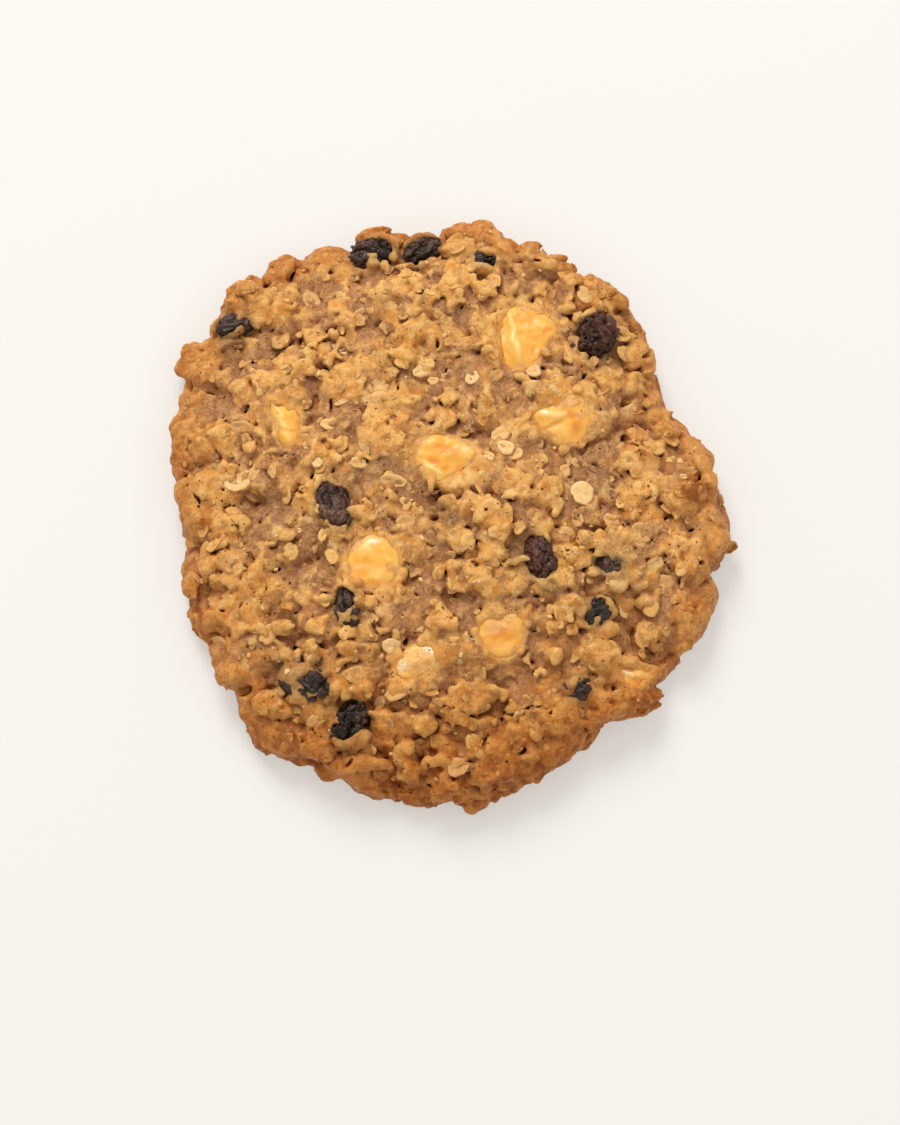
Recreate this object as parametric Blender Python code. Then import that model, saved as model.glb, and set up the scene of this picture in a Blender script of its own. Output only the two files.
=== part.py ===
"""Oatmeal raisin cookie: one baked dough body, thirteen raisins and eight
pale confectionery chips that sit in open pockets in its crown.

Units are metres, +Z is up, and the cookie rests on Z = 0.  The origin is the
middle of the flat underside's bounding box.
"""
import math

import bmesh
import bpy
from mathutils import Matrix, Vector, noise

MM = 0.001

# ---------------------------------------------------------------- dimensions
MIDDLE_THICK = 15.0      # crown height at the centre, mm
SHOULDER_THICK = 8.2     # crown height where the rim starts to turn down, mm
SHOULDER_AT = 0.92       # that place, as a share of the local radius
WIDEST_AT = 3.2          # height of the widest point of the rim, mm
FOOT_AT = 0.925          # radius of the flat underside, as a share
CROWN_POWER = 2.6        # larger is flatter in the middle
GAP = 0.35               # clearance round every raisin and chip, mm

# Radius of the rim in mm, every ten degrees, anticlockwise from +X.  The
# cookie spread unevenly: a flat at 25 degrees, a shallow one on the left, a
# long shoulder at the upper left and a straighter lower right.
RIM = [48.4, 48.8, 45.6, 44.8, 48.8, 51.0, 52.4, 51.8, 52.2, 52.8, 52.4, 53.4,
       54.8, 55.8, 54.8, 55.2, 53.4, 50.6, 48.8, 49.4, 50.8, 50.4, 52.4, 53.8,
       54.4, 54.0, 54.0, 54.8, 53.4, 52.2, 49.8, 50.2, 50.6, 50.4, 50.4, 51.0]

# Narrow lobes and nicks of the rim: direction, half width (degrees), size mm.
RIM_LOBES = [
    (85.0, 4.0, 2.2),     # knob beyond the raisins at the far edge
    (104.0, 4.0, 2.3),
    (96.0, 3.0, -0.7),
    (135.5, 4.5, 1.8),    # far left corner
    (115.0, 3.0, 0.4),
    (174.0, 3.0, 0.6),
    (182.0, 2.5, -0.7),   # nick in the left side
    (195.0, 4.0, 0.9),
    (235.0, 3.5, 0.9),
    (297.0, 3.0, 0.8),
    (307.0, 3.0, -0.6),
    (315.0, 3.5, 1.4),
    (345.0, 3.0, -0.9),
    (356.5, 4.5, 1.0),    # stub lobe at the right
    (5.5, 3.5, 0.6),
    (24.0, 4.0, -0.8),    # waist above it
]

# Broad humps and hollows of the crown: x, y, half width, height, all mm.
SWELLS = [
    (-7.0, 26.0, 5.0, 1.0), (-3.0, 38.0, 6.0, 0.7), (6.0, 30.0, 5.0, 0.6),
    (30.5, 38.0, 4.5, 0.9), (36.0, 22.0, 5.5, 1.1), (-33.0, 38.0, 4.0, 0.7),
    (-41.0, 13.0, 4.5, 0.6), (-37.0, -8.0, 5.0, 0.6), (-28.0, -37.5, 5.0, 1.3),
    (-4.0, -37.5, 5.0, 0.7), (6.0, -49.0, 6.0, 0.7), (36.0, -36.0, 5.0, 0.8),
    (22.0, -27.0, 5.0, 0.9), (42.0, 3.0, 4.5, 1.0), (2.0, -8.0, 5.0, 0.5),
    (21.0, 42.0, 6.0, 0.6), (-17.0, 40.0, 5.0, 0.5), (14.0, 9.0, 5.0, 0.4),
    (25.0, 5.0, 6.0, -0.9), (-31.0, -3.0, 6.0, -0.7), (2.0, 21.0, 6.0, -0.8),
    (-23.0, 17.0, 4.0, -0.6), (4.0, -29.5, 5.0, -0.9), (9.0, -39.0, 6.0, -0.8),
    (-5.0, -4.0, 5.0, -0.5), (-24.0, 9.0, 4.0, -0.6), (30.0, -12.0, 5.0, -0.5),
    (-12.0, 46.0, 5.5, -0.9), (-33.0, 30.0, 4.0, -0.6), (-27.0, -15.0, 4.0, -0.4),
]

COBBLE_SIZE = 6.2        # spacing of the oat lumps, mm
COBBLE_HEIGHT = 1.35     # how far they stand proud, mm
GRID = 46                # cells along each side of the body's grid
SIDE_ROWS = 6            # grid rings spent on the rim's side

# Raisins: x, y, length, width, height, direction of length (degrees), and the
# height of the middle over the crown, all mm.
RAISINS = [
    (-13.9, 46.2, 8.6, 5.6, 5.0, 8.0, 0.1),
    (-4.7, 47.0, 7.0, 4.8, 4.6, 20.0, 0.1),
    (6.8, 44.6, 5.4, 4.0, 4.0, 5.0, 0.2),
    (-38.6, 32.8, 6.4, 4.2, 4.0, 15.0, 0.2),
    (26.3, 29.6, 9.0, 6.8, 5.6, 55.0, 0.5),
    (-20.2, -1.8, 9.2, 5.8, 5.4, 112.0, 0.3),
    (15.9, -11.2, 8.2, 5.4, 5.2, 100.0, 0.4),
    (-18.0, -20.0, 7.2, 4.4, 4.6, 95.0, -0.2),
    (25.8, -20.8, 6.2, 4.6, 4.4, 20.0, -0.1),
    (29.2, -11.3, 6.6, 4.6, 4.4, 35.0, -0.3),
    (-25.2, -33.0, 8.8, 5.4, 5.0, -22.0, 0.1),
    (-16.9, -40.4, 8.8, 6.4, 5.2, 70.0, 0.3),
    (21.9, -33.7, 6.2, 4.2, 4.2, 10.0, -0.2),
]
RAISIN_AROUND, RAISIN_ALONG = 10, 6
WRINKLE = 0.085          # depth of the lengthwise folds, share of the radius

# Chips: as the raisins.
CHIPS = [
    (14.4, 29.2, 10.6, 8.8, 6.0, 78.0, -1.3),
    (20.0, 13.8, 9.8, 8.4, 5.6, 20.0, -1.3),
    (-0.8, 6.5, 11.6, 8.0, 5.8, 0.0, -1.4),
    (-28.9, 13.2, 8.8, 5.2, 5.0, 108.0, -1.2),
    (-12.8, -12.0, 9.6, 9.0, 6.0, 80.0, -1.3),
    (9.3, -24.4, 9.2, 8.6, 6.0, 70.0, -1.3),
    (33.0, -31.5, 6.2, 4.6, 4.2, 15.0, -0.9),
    (-4.7, -29.6, 9.6, 6.8, 4.8, 12.0, -1.3),
]
CHIP_AROUND, CHIP_ALONG = 10, 6


# ------------------------------------------------------------------- helpers
def smooth_bump(d, width):
    """1 at d = 0, falling smoothly to 0 at |d| = 2 * width."""
    t = min(1.0, abs(d) / (2.0 * width))
    return (1.0 - t * t) ** 2


def rim_radius(angle):
    """Radius of the rim in mm in one direction (radians)."""
    a = math.degrees(angle) % 360.0
    k = a / 10.0
    i = int(k)
    t = k - i
    p0, p1, p2, p3 = (RIM[(i + j) % 36] for j in (-1, 0, 1, 2))
    base = 0.5 * (2 * p1 + (p2 - p0) * t
                  + (2 * p0 - 5 * p1 + 4 * p2 - p3) * t * t
                  + (3 * p1 - p0 - 3 * p2 + p3) * t ** 3)
    for direction, width, size in RIM_LOBES:
        d = (a - direction + 180.0) % 360.0 - 180.0
        base += size * smooth_bump(d, width)
    return base


def crown(x, y):
    """Smooth height of the crown in mm, without the cobbling."""
    r = math.hypot(x, y)
    s = min(1.0, r / rim_radius(math.atan2(y, x)) / SHOULDER_AT)
    z = SHOULDER_THICK + (MIDDLE_THICK - SHOULDER_THICK) * (1.0 - s ** CROWN_POWER)
    for sx, sy, width, height in SWELLS:
        z += height * smooth_bump(math.hypot(x - sx, y - sy), width)
    return z


def cobble(x, y, z):
    """Rounded oat lumps: 0 in the creases between them, up to 1 on top."""
    dist, _ = noise.voronoi(Vector((x, y, z)) / COBBLE_SIZE + Vector((3.1, 7.7, 1.3)))
    lump = min(1.0, (dist[1] - dist[0]) * 1.6)
    fine = noise.noise(Vector((x, y, z)) / 2.7 + Vector((11.0, 2.0, 5.0)))
    return lump * 0.8 + 0.35 * fine


def calm(x, y):
    """1 in open dough, 0 on and beside a raisin or chip, whose pocket must
    stay open at the top."""
    least = 1.0
    for px, py, length, width, _, _, _ in RAISINS + CHIPS:
        reach = 0.25 * (length + width) + 1.0
        share = math.hypot(x - px, y - py) / reach
        least = min(least, max(0.0, (share - 0.75) / 0.6))
    return least


def material(name, colour, roughness):
    mat = bpy.data.materials.new(name)
    mat.use_nodes = True
    shader = mat.node_tree.nodes["Principled BSDF"]
    shader.inputs["Base Color"].default_value = (*colour, 1.0)
    shader.inputs["Roughness"].default_value = roughness
    shader.inputs["Metallic"].default_value = 0.0
    return mat


def add_object(name, bm, collection, mat=None):
    mesh = bpy.data.meshes.new(name)
    bm.to_mesh(mesh)
    bm.free()
    mesh.shade_smooth()
    obj = bpy.data.objects.new(name, mesh)
    if mat:
        mesh.materials.append(mat)
    collection.objects.link(obj)
    return obj


# ---------------------------------------------------------------- dough body
def disc_place(a, b):
    """Square cell place (-1..1) to ring share and direction on a disc."""
    if abs(a) < 1e-9 and abs(b) < 1e-9:
        return 0.0, 0.0
    if abs(a) >= abs(b):
        s, angle = abs(a), (math.pi / 4.0) * (b / a)
        if a < 0:
            angle += math.pi
    else:
        s, angle = abs(b), math.pi / 2.0 - (math.pi / 4.0) * (a / b)
        if b < 0:
            angle += math.pi
    return s, angle


def make_body():
    """The dough: a gridded crown, a rounded rim and one flat underside."""
    bm = bmesh.new()
    bmesh.ops.create_grid(bm, x_segments=GRID, y_segments=GRID, size=1.0)
    rings = GRID // 2
    top_rings = rings - SIDE_ROWS
    for v in bm.verts:
        s, angle = disc_place(v.co.x, v.co.y)
        ring = s * rings
        radius = rim_radius(angle)
        c, sn = math.cos(angle), math.sin(angle)
        if ring <= top_rings + 1e-6:
            r = radius * SHOULDER_AT * ring / top_rings
            x, y = r * c, r * sn
            z = crown(x, y)
            z += COBBLE_HEIGHT * cobble(x, y, z) * calm(x, y)
        else:
            turn = (ring - top_rings) / SIDE_ROWS       # 0 shoulder, 1 foot
            psi = math.pi / 2.0 - math.pi * turn
            inner = SHOULDER_AT if psi > 0 else FOOT_AT
            shoulder = crown(radius * SHOULDER_AT * c, radius * SHOULDER_AT * sn)
            r = radius * (inner + (1.0 - inner) * math.cos(psi))
            if psi > 0:
                z = WIDEST_AT + (shoulder - WIDEST_AT) * math.sin(psi)
            else:
                z = WIDEST_AT * (1.0 + math.sin(psi))
            keep = 1.0 - turn ** 6                      # the foot stays flat
            keep *= calm(r * c, r * sn)
            lump = COBBLE_HEIGHT * (cobble(r * c, r * sn, z) - 0.3) * keep
            r += lump * math.cos(psi) * 1.2
            z += lump * max(0.0, math.sin(psi))
            if ring >= rings - 1e-6:
                z = 0.0
            x, y = r * c, r * sn
        v.co = (x * MM, y * MM, z * MM)
    edge = [e for e in bm.edges if e.is_boundary]
    bmesh.ops.contextual_create(bm, geom=edge)
    bmesh.ops.recalc_face_normals(bm, faces=bm.faces)
    return bm


# ----------------------------------------------------------- raisins, chips
def blob(around, along, size, shape):
    """A turned sphere with its poles on X, reshaped by shape(x, angle)."""
    bm = bmesh.new()
    bmesh.ops.create_uvsphere(bm, u_segments=around, v_segments=along, radius=1.0)
    bmesh.ops.rotate(bm, verts=bm.verts, cent=(0, 0, 0),
                     matrix=Matrix.Rotation(math.pi / 2.0, 3, "Y"))
    for v in bm.verts:
        angle = math.atan2(v.co.z, v.co.y)
        f, lift = shape(v.co.x, angle)
        v.co = Vector((v.co.x * size[0] / 2.0,
                       v.co.y * f * size[1] / 2.0,
                       (v.co.z * f + lift) * size[2] / 2.0)) * MM
    bmesh.ops.recalc_face_normals(bm, faces=bm.faces)
    return bm


def raisin_shape(index):
    """Lengthwise folds, one end plumper, a slight bend."""
    fold = RAISIN_AROUND / 2

    def shape(x, angle):
        f = 1.0 + WRINKLE * math.cos(fold * angle + 0.4 * x)
        f *= 1.0 - 0.10 * x * (1 if index % 2 else -1)
        f += 0.05 * math.sin(2 * angle + index)
        return f, 0.10 * (x * x - 0.4) * (-1 if index % 3 else 1)
    return shape


def chip_shape(index):
    """A slumped drop: flat-bellied, blunter at one end."""
    def shape(x, angle):
        f = 1.0 + 0.07 * math.cos(2 * angle + index) + 0.05 * math.cos(3 * angle)
        f *= 1.0 + 0.12 * x * (1 if index % 2 else -1)
        return f, 0.0
    return shape


def place(bm, x, y, direction, over):
    z = crown(x, y) + over
    turn = Matrix.Rotation(math.radians(direction), 4, "Z")
    bmesh.ops.transform(bm, matrix=Matrix.Translation(Vector((x, y, z)) * MM) @ turn,
                        verts=bm.verts)


def swollen(bm, by):
    """The same shape, grown by a distance in mm along its normals."""
    fat = bm.copy()
    fat.normal_update()
    moves = [(v, v.normal.copy()) for v in fat.verts]
    for v, n in moves:
        v.co += n * by * MM
    return fat


def main():
    for obj in list(bpy.data.objects):
        bpy.data.objects.remove(obj, do_unlink=True)
    cookie = bpy.data.collections.new("oatmeal_raisin_cookie")
    cutters = bpy.data.collections.new("pocket_cutters")
    for collection in (cookie, cutters):
        bpy.context.scene.collection.children.link(collection)

    dough_mat = material("baked_dough", (0.50, 0.238, 0.076), 0.62)
    raisin_mat = material("raisin_skin", (0.061, 0.023, 0.013), 0.45)
    chip_mat = material("pale_chip", (0.93, 0.52, 0.11), 0.38)

    pieces = []
    for kind, table, around, along, maker, mat in (
            ("raisin", RAISINS, RAISIN_AROUND, RAISIN_ALONG, raisin_shape, raisin_mat),
            ("chip", CHIPS, CHIP_AROUND, CHIP_ALONG, chip_shape, chip_mat)):
        for i, (x, y, length, width, height, direction, over) in enumerate(table):
            bm = blob(around, along, (length, width, height), maker(i))
            place(bm, x, y, direction, over)
            fat = swollen(bm, GAP)
            name = "%s_%02d" % (kind, i + 1)
            add_object(name, bm, cookie, mat)
            cutter = add_object("pocket_" + name, fat, cutters)
            cutter.hide_render = True
            cutter.display_type = "WIRE"
            pieces.append(cutter)

    body = add_object("cookie_dough", make_body(), cookie, dough_mat)
    for cutter in pieces:
        cut = body.modifiers.new("cut_" + cutter.name, "BOOLEAN")
        cut.operation = "DIFFERENCE"
        cut.solver = "EXACT"
        cut.object = cutter


main()
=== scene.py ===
"""Looks of the oatmeal raisin cookie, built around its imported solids.

All modelling below is in millimetres and turned into metres when a mesh is
made.  The cookie's body is a distance field: the smooth loaf of dough, with
oat lumps joined on, pits and cracks taken out and grain added, which is then
skinned.  Raisins, chips, bare oat flakes and crumbs are pieces of their own.
"""
import math

import bmesh
import bpy
import numpy as np
from mathutils import Matrix, Vector, noise


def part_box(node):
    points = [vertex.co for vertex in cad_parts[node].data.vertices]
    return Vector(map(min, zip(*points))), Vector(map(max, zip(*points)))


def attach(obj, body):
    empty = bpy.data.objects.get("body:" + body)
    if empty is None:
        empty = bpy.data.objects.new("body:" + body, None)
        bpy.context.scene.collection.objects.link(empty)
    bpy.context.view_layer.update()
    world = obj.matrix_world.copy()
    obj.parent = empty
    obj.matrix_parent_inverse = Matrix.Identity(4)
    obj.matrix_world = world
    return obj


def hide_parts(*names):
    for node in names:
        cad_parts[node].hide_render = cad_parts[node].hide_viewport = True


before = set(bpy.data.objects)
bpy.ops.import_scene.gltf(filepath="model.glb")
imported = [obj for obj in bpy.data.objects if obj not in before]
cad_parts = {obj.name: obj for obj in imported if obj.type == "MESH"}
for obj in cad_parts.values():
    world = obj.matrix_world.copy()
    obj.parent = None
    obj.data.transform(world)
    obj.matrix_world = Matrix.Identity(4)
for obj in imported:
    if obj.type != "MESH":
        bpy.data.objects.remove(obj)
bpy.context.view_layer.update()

MM = 0.001
VOXEL = 0.34     # mm
DOUGH_TRIANGLES = 195000
rng = np.random.default_rng(20417)

# --------------------------------------------------------------------------
# The loaf: the same named sizes as the solid it replaces (mm)
# --------------------------------------------------------------------------
MIDDLE_THICK, SHOULDER_THICK = 15.0, 8.2
SHOULDER_AT, FOOT_AT, WIDEST_AT = 0.92, 0.925, 3.2
CROWN_POWER = 2.6
RIM = [48.4, 48.8, 45.6, 44.8, 48.8, 51.0, 52.4, 51.8, 52.2, 52.8, 52.4, 53.4,
       54.8, 55.8, 54.8, 55.2, 53.4, 50.6, 48.8, 49.4, 50.8, 50.4, 52.4, 53.8,
       54.4, 54.0, 54.0, 54.8, 53.4, 52.2, 49.8, 50.2, 50.6, 50.4, 50.4, 51.0]
RIM_LOBES = [(85.0, 4.0, 2.2), (104.0, 4.0, 2.3), (96.0, 3.0, -0.7), (135.5, 4.5, 1.8),
             (115.0, 3.0, 0.4), (174.0, 3.0, 0.6), (182.0, 2.5, -0.7), (195.0, 4.0, 0.9),
             (235.0, 3.5, 0.9), (297.0, 3.0, 0.8), (307.0, 3.0, -0.6), (315.0, 4.5, 0.7),
             (345.0, 3.0, -0.9), (356.5, 4.5, 1.0), (5.5, 3.5, 0.6), (24.0, 4.0, -0.8)]
SWELLS = [
    (-7.0, 26.0, 5.0, 1.0), (-3.0, 38.0, 6.0, 0.7), (6.0, 30.0, 5.0, 0.6),
    (30.5, 38.0, 4.5, 0.9), (36.0, 22.0, 5.5, 1.1), (-33.0, 38.0, 4.0, 0.7),
    (-41.0, 13.0, 4.5, 0.6), (-37.0, -8.0, 5.0, 0.6), (-28.0, -37.5, 5.0, 1.3),
    (-4.0, -37.5, 5.0, 0.7), (6.0, -49.0, 6.0, 0.7), (36.0, -36.0, 5.0, 0.8),
    (22.0, -27.0, 5.0, 0.9), (42.0, 3.0, 4.5, 1.0), (2.0, -8.0, 5.0, 0.5),
    (21.0, 42.0, 6.0, 0.6), (-17.0, 40.0, 5.0, 0.5), (14.0, 9.0, 5.0, 0.4),
    (25.0, 5.0, 6.0, -0.9), (-31.0, -3.0, 6.0, -0.7), (2.0, 21.0, 6.0, -0.8),
    (-23.0, 17.0, 4.0, -0.6), (4.0, -29.5, 5.0, -0.9), (9.0, -39.0, 6.0, -0.8),
    (-5.0, -4.0, 5.0, -0.5), (-24.0, 9.0, 4.0, -0.6), (30.0, -12.0, 5.0, -0.5),
    (-12.0, 46.0, 5.5, -0.9), (-33.0, 30.0, 4.0, -0.6), (-27.0, -15.0, 4.0, -0.4)]

# --------------------------------------------------------------------------
# What sits on the crown, read off and rounded to half a millimetre:
# kind, x, y, length, width (mm), turn (degrees), how proud or deep (mm), tone
# --------------------------------------------------------------------------
TAUPE, TAN, GOLD, YELLOW, CREAM, ORANGE, BROWN = range(7)
#           gold  pale  toast of each tone
TONES = {TAUPE: (0.05, 0.0, 0.0), TAN: (0.45, 0.0, 0.0), GOLD: (0.85, 0.0, 0.05),
         YELLOW: (1.0, 0.30, 0.0), CREAM: (0.8, 0.85, 0.0), ORANGE: (0.8, 0.0, 0.55),
         BROWN: (0.6, 0.0, 1.0)}
FEATURES = [
    ("lump", -33, 42.5, 3, 3, 20, 0.3, GOLD), ("lump", -38, 36.5, 5, 4.5, 0, 0.5, GOLD),
    ("lump", -34.5, 34, 3, 2.5, 30, 0.3, ORANGE), ("lump", -30.5, 30, 4, 3, -20, 0.3, GOLD),
    ("lump", -25, 31, 3, 2.5, 0, 0.2, GOLD), ("lump", -25, 27.5, 3, 2.5, 40, 0.2, GOLD),
    ("lump", -20.5, 30.5, 3, 2.5, 0, 0, TAUPE), ("lump", -43.5, 24, 4.5, 4, 30, 0.4, ORANGE),
    ("lump", -38, 20.5, 3.5, 3, 0, 0.3, GOLD), ("lump", -40.5, 11.5, 5, 4.5, 0, 0.5, GOLD),
    ("lump", -44, 9.5, 4.5, 3.5, 60, 0.4, ORANGE), ("lump", -35.5, 9, 2.5, 2, 0, 0.2, GOLD),
    ("lump", -37.5, -4.5, 5, 4, 0, 0.4, GOLD), ("lump", -41, -8, 3, 2.5, 30, 0.3, GOLD),
    ("lump", -43, -9.5, 2.5, 2.5, 0, 0.3, ORANGE), ("lump", -34, -14, 5, 3.5, 70, 0.4, GOLD),
    ("lump", -38.5, -14.5, 3.5, 3, 0, 0.3, GOLD), ("lump", -46, -14, 3, 2.5, 0, 0.3, ORANGE),
    ("lump", -46, -16, 3, 3, 0, 0.4, ORANGE), ("lump", -41, -19, 3, 2.5, 20, 0.3, CREAM),
    ("lump", -38.5, -21, 3, 2.5, 0, 0.2, GOLD), ("lump", -37.5, -26, 5, 4, 0, 0.4, GOLD),
    ("lump", -34.5, -26, 2, 2, 0, 0.3, CREAM), ("lump", -43, -22.5, 2.5, 2, 0, 0.3, ORANGE),
    ("lump", -29.5, -23, 4, 3, 0, 0.3, GOLD), ("lump", -23, -23.5, 4, 3.5, 30, 0.3, GOLD),
    ("lump", -24, -27.5, 4.5, 3, 90, 0.4, GOLD), ("lump", -18, -27.5, 4.5, 3.5, 0, 0.3, GOLD),
    ("lump", -31, -36.5, 7, 5.5, -10, 0.8, GOLD), ("lump", -26, -34.5, 2.5, 2, 0, 0.5, CREAM),
    ("lump", -19, -34, 4.5, 3.5, 20, 0.4, ORANGE), ("lump", -23.5, -38.5, 5, 4.5, 0, 0.4, TAN),
    ("lump", -31, -41.5, 2.5, 3, 0, 0.4, ORANGE), ("lump", -29, -7, 3.5, 3, 0, 0.3, GOLD),
    ("lump", -28, -4, 2, 2, 0, 0.2, CREAM), ("lump", -13.5, 50, 6.5, 4, 0, 0.8, ORANGE),
    ("lump", -3.5, 45, 4, 2.5, 15, 0.9, TAN), ("lump", 2, 47.5, 6, 5.5, 0, 1, GOLD),
    ("lump", -8, 41, 4.5, 3.5, 60, 0.4, GOLD), ("lump", -5.5, 40, 4, 3, 0, 0.4, GOLD),
    ("lump", -5.5, 37, 3, 2.5, 0, 0.3, GOLD), ("lump", -12.5, 37.5, 4.5, 3.5, 10, 0.2, TAN),
    ("lump", 1.5, 36.5, 4.5, 3, 10, 0.4, YELLOW), ("lump", 6.5, 38.5, 4.5, 4.5, 0, 0.4, GOLD),
    ("lump", 8.5, 41.5, 4, 2, 70, 0.4, GOLD), ("lump", -6, 31, 8, 5.5, 60, 0.9, GOLD),
    ("lump", -8, 25.5, 5, 4.5, 20, 0.6, GOLD), ("lump", 1, 27.5, 4.5, 4, 0, 0.4, GOLD),
    ("lump", 5.5, 32, 5, 4, 30, 0.4, GOLD), ("lump", 8, 26.5, 3, 2.5, 0, 0.3, GOLD),
    ("lump", -10.5, 22, 3, 2.5, 0, 0.3, TAN), ("lump", -10.5, 17.5, 3.5, 3, 0, 0.3, GOLD),
    ("lump", 0, 18, 4.5, 3, 10, 0.3, YELLOW), ("lump", 15, 19.5, 4, 3.5, 0, 0.4, CREAM),
    ("lump", 16.5, 44, 7, 3, -12, 0.4, GOLD), ("lump", 22, 41, 4.5, 3, -20, 0.4, GOLD),
    ("lump", 27, 36, 2.5, 2, 0, 0.3, GOLD), ("lump", 20, 46, 3, 2.5, -20, 0.3, ORANGE),
    ("lump", 31, 38.5, 5, 4, -60, 0.6, ORANGE), ("lump", 33.5, 27, 6, 4.5, 70, 0.8, GOLD),
    ("lump", 33, 21, 6.5, 4.5, 60, 0.8, GOLD), ("lump", 29, 20.5, 3.5, 3, 0, 0.5, GOLD),
    ("lump", 25, 20.5, 3, 2.5, 0, 0.3, GOLD), ("lump", 19, 21.5, 3.5, 2.5, 10, 0.3, YELLOW),
    ("lump", -10.5, -1, 3.5, 3, 0, 0.3, TAN), ("lump", -5.5, -2.5, 3, 2.5, 0, 0.2, GOLD),
    ("flake", 1.5, -8, 7.5, 5, -10, 0.5, YELLOW), ("lump", 6, -3, 5.5, 5, 0, 0.4, YELLOW),
    ("lump", 9.5, -4, 3.5, 3, 0, 0.3, GOLD), ("lump", 10.5, -0.5, 2.5, 2, 0, 0.3, CREAM),
    ("lump", -3.5, 14.5, 3, 2.5, 0, 0.4, YELLOW), ("lump", -8.5, 13.5, 2.5, 2, 0, 0.2, GOLD),
    ("flake", 0, 17.5, 6, 3, 10, 0.5, GOLD), ("lump", 18.5, -2, 3, 3, 0, 0.3, GOLD),
    ("lump", 31.5, 0, 2.5, 2, 0, 0.3, GOLD), ("lump", 29.5, -7, 4, 3.5, 0, 0.5, YELLOW),
    ("flake", 27, -10, 4.5, 2, 10, 0.5, YELLOW), ("lump", 29.5, -15, 4, 3.5, 0, 0.4, YELLOW),
    ("lump", 34.5, -18.5, 4.5, 3.5, 0, 0.3, GOLD), ("lump", 35, -23.5, 4.5, 4, 0, 0.4, GOLD),
    ("lump", 20.5, -20.5, 6.5, 5.5, 50, 0.6, GOLD), ("lump", 28, -24, 3.5, 3, 0, 0.3, GOLD),
    ("lump", 24.5, -27.5, 5.5, 3.5, 10, 0.3, GOLD), ("lump", 18.5, -28.5, 3.5, 3, 0, 0.3, GOLD),
    ("lump", 16, -31.5, 2, 2, 0, 0.3, CREAM), ("lump", 32, -35.5, 6.5, 5, -25, 0.5, ORANGE),
    ("lump", 19, -37, 3.5, 3, 0, 0.3, GOLD), ("lump", 15, -37, 2.5, 2, 0, 0.3, GOLD),
    ("lump", -14.5, -33.5, 3.5, 3, 0, 0.3, GOLD), ("lump", -8.5, -34.5, 6, 3, 5, 0.3, GOLD),
    ("lump", -4.5, -40.5, 5, 4.5, 0, 0.5, GOLD), ("lump", 1, -35, 3, 2.5, 0, 0.3, YELLOW),
    ("lump", 6, -36.5, 3, 2.5, 0, 0.3, GOLD), ("flake", 8.5, -34.5, 5.5, 3, -50, 0.5, GOLD),
    ("lump", -7.5, -44.5, 3.5, 3, 0, 0.4, GOLD), ("lump", -1, -46.5, 3, 2.5, 0, 0.3, GOLD),
    ("lump", 2, -47.5, 3, 2.5, 0, 0.3, GOLD), ("lump", -3.5, -47, 3, 2.5, 0, 0.3, GOLD),
    ("flake", -0.5, -49.5, 4.5, 2.5, 80, 0.5, ORANGE), ("lump", 6, -48.5, 5.5, 4, 5, 0.5, ORANGE),
    ("lump", -1.5, -53.5, 4.5, 3, 0, 0.4, ORANGE), ("lump", 15.5, -46, 4.0, 3.5, 20, 0.3, ORANGE),
    ("lump", -13, -47, 6, 3, -15, 0.4, ORANGE), ("lump", -20.5, -45.5, 2.5, 2, 0, 0.3, ORANGE),
    ("lump", 48, -7, 5.5, 5.5, 0, 0.7, GOLD), ("lump", 42, -0.5, 8, 7, 0, 0.9, GOLD),
    ("lump", 42.5, 1, 5.5, 5, 0, 0.9, BROWN), ("lump", 22, -25, 2.5, 1, 30, 0.3, CREAM),
    ("lump", 2.5, -26, 4, 1.5, 10, 0.3, CREAM), ("lump", 3.5, -14, 4.5, 3, 20, 0.4, YELLOW),
    ("lump", 5, -40, 9, 3, -5, 0.5, GOLD), ("oat", 39, 7, 1.5, 1, 0, 0.5, CREAM),
    ("oat", 41, 7, 1.5, 1, 0, 0.5, CREAM), ("oat", 41.5, 4, 1.5, 1, 0, 0.5, CREAM),
    ("lump", -6.5, 17, 3, 2.5, 0, 0.3, YELLOW), ("oat", -37.5, 3.5, 5, 4.5, 10, 0.6, CREAM),
    ("oat", -34.5, 4.5, 3, 2, 60, 0.4, YELLOW), ("oat", 23.5, 0.5, 4.5, 4.5, -10, 0.6, CREAM),
    ("oat", 4, 21.5, 3, 2.5, 80, 0.5, CREAM), ("oat", -5, 23, 3.5, 2.5, 30, 0.5, CREAM),
    ("oat", -2.5, 21, 3, 2, -30, 0.5, CREAM), ("oat", -4, 24.5, 3, 2, 0, 0.5, YELLOW),
    ("oat", -23.5, 6, 3, 2, -50, 0.5, CREAM), ("oat", -10, -27, 3.5, 3, 0, 0.6, CREAM),
    ("oat", -10, 2.5, 5, 2.5, -15, 0.5, YELLOW), ("oat", 10, 8.5, 3.5, 2.5, -20, 0.5, CREAM),
    ("oat", 7, 7, 2.5, 1.5, -30, 0.5, CREAM), ("oat", 9, 11, 3.5, 2.5, 20, 0.4, YELLOW),
    ("oat", 11.5, 7.5, 3, 2.5, 0, 0.4, YELLOW), ("oat", 15, 22.5, 3, 2, 10, 0.5, CREAM),
    ("oat", -19.5, 27.5, 3.5, 1.5, -35, 0.5, CREAM), ("oat", -26.5, -6, 1, 1, 0, 0.4, CREAM),
    ("oat", -23, -2.5, 2, 1.5, 0, 0.4, YELLOW), ("oat", -19, 17, 3, 1, 20, 0.4, CREAM),
    ("oat", -8, -1.5, 3, 2.5, 40, 0.4, YELLOW), ("oat", -16, 5.5, 3, 2, 0, 0.4, YELLOW),
    ("oat", 20, 4.5, 3.5, 2.5, 30, 0.4, GOLD), ("oat", 28.5, -4.5, 3, 2.5, -40, 0.4, GOLD),
    ("pit", -21.5, 42.5, 1.5, 1, 0, 1.6, TAUPE), ("pit", -31.5, 39.5, 1.5, 1, 30, 1.6, TAUPE),
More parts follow.
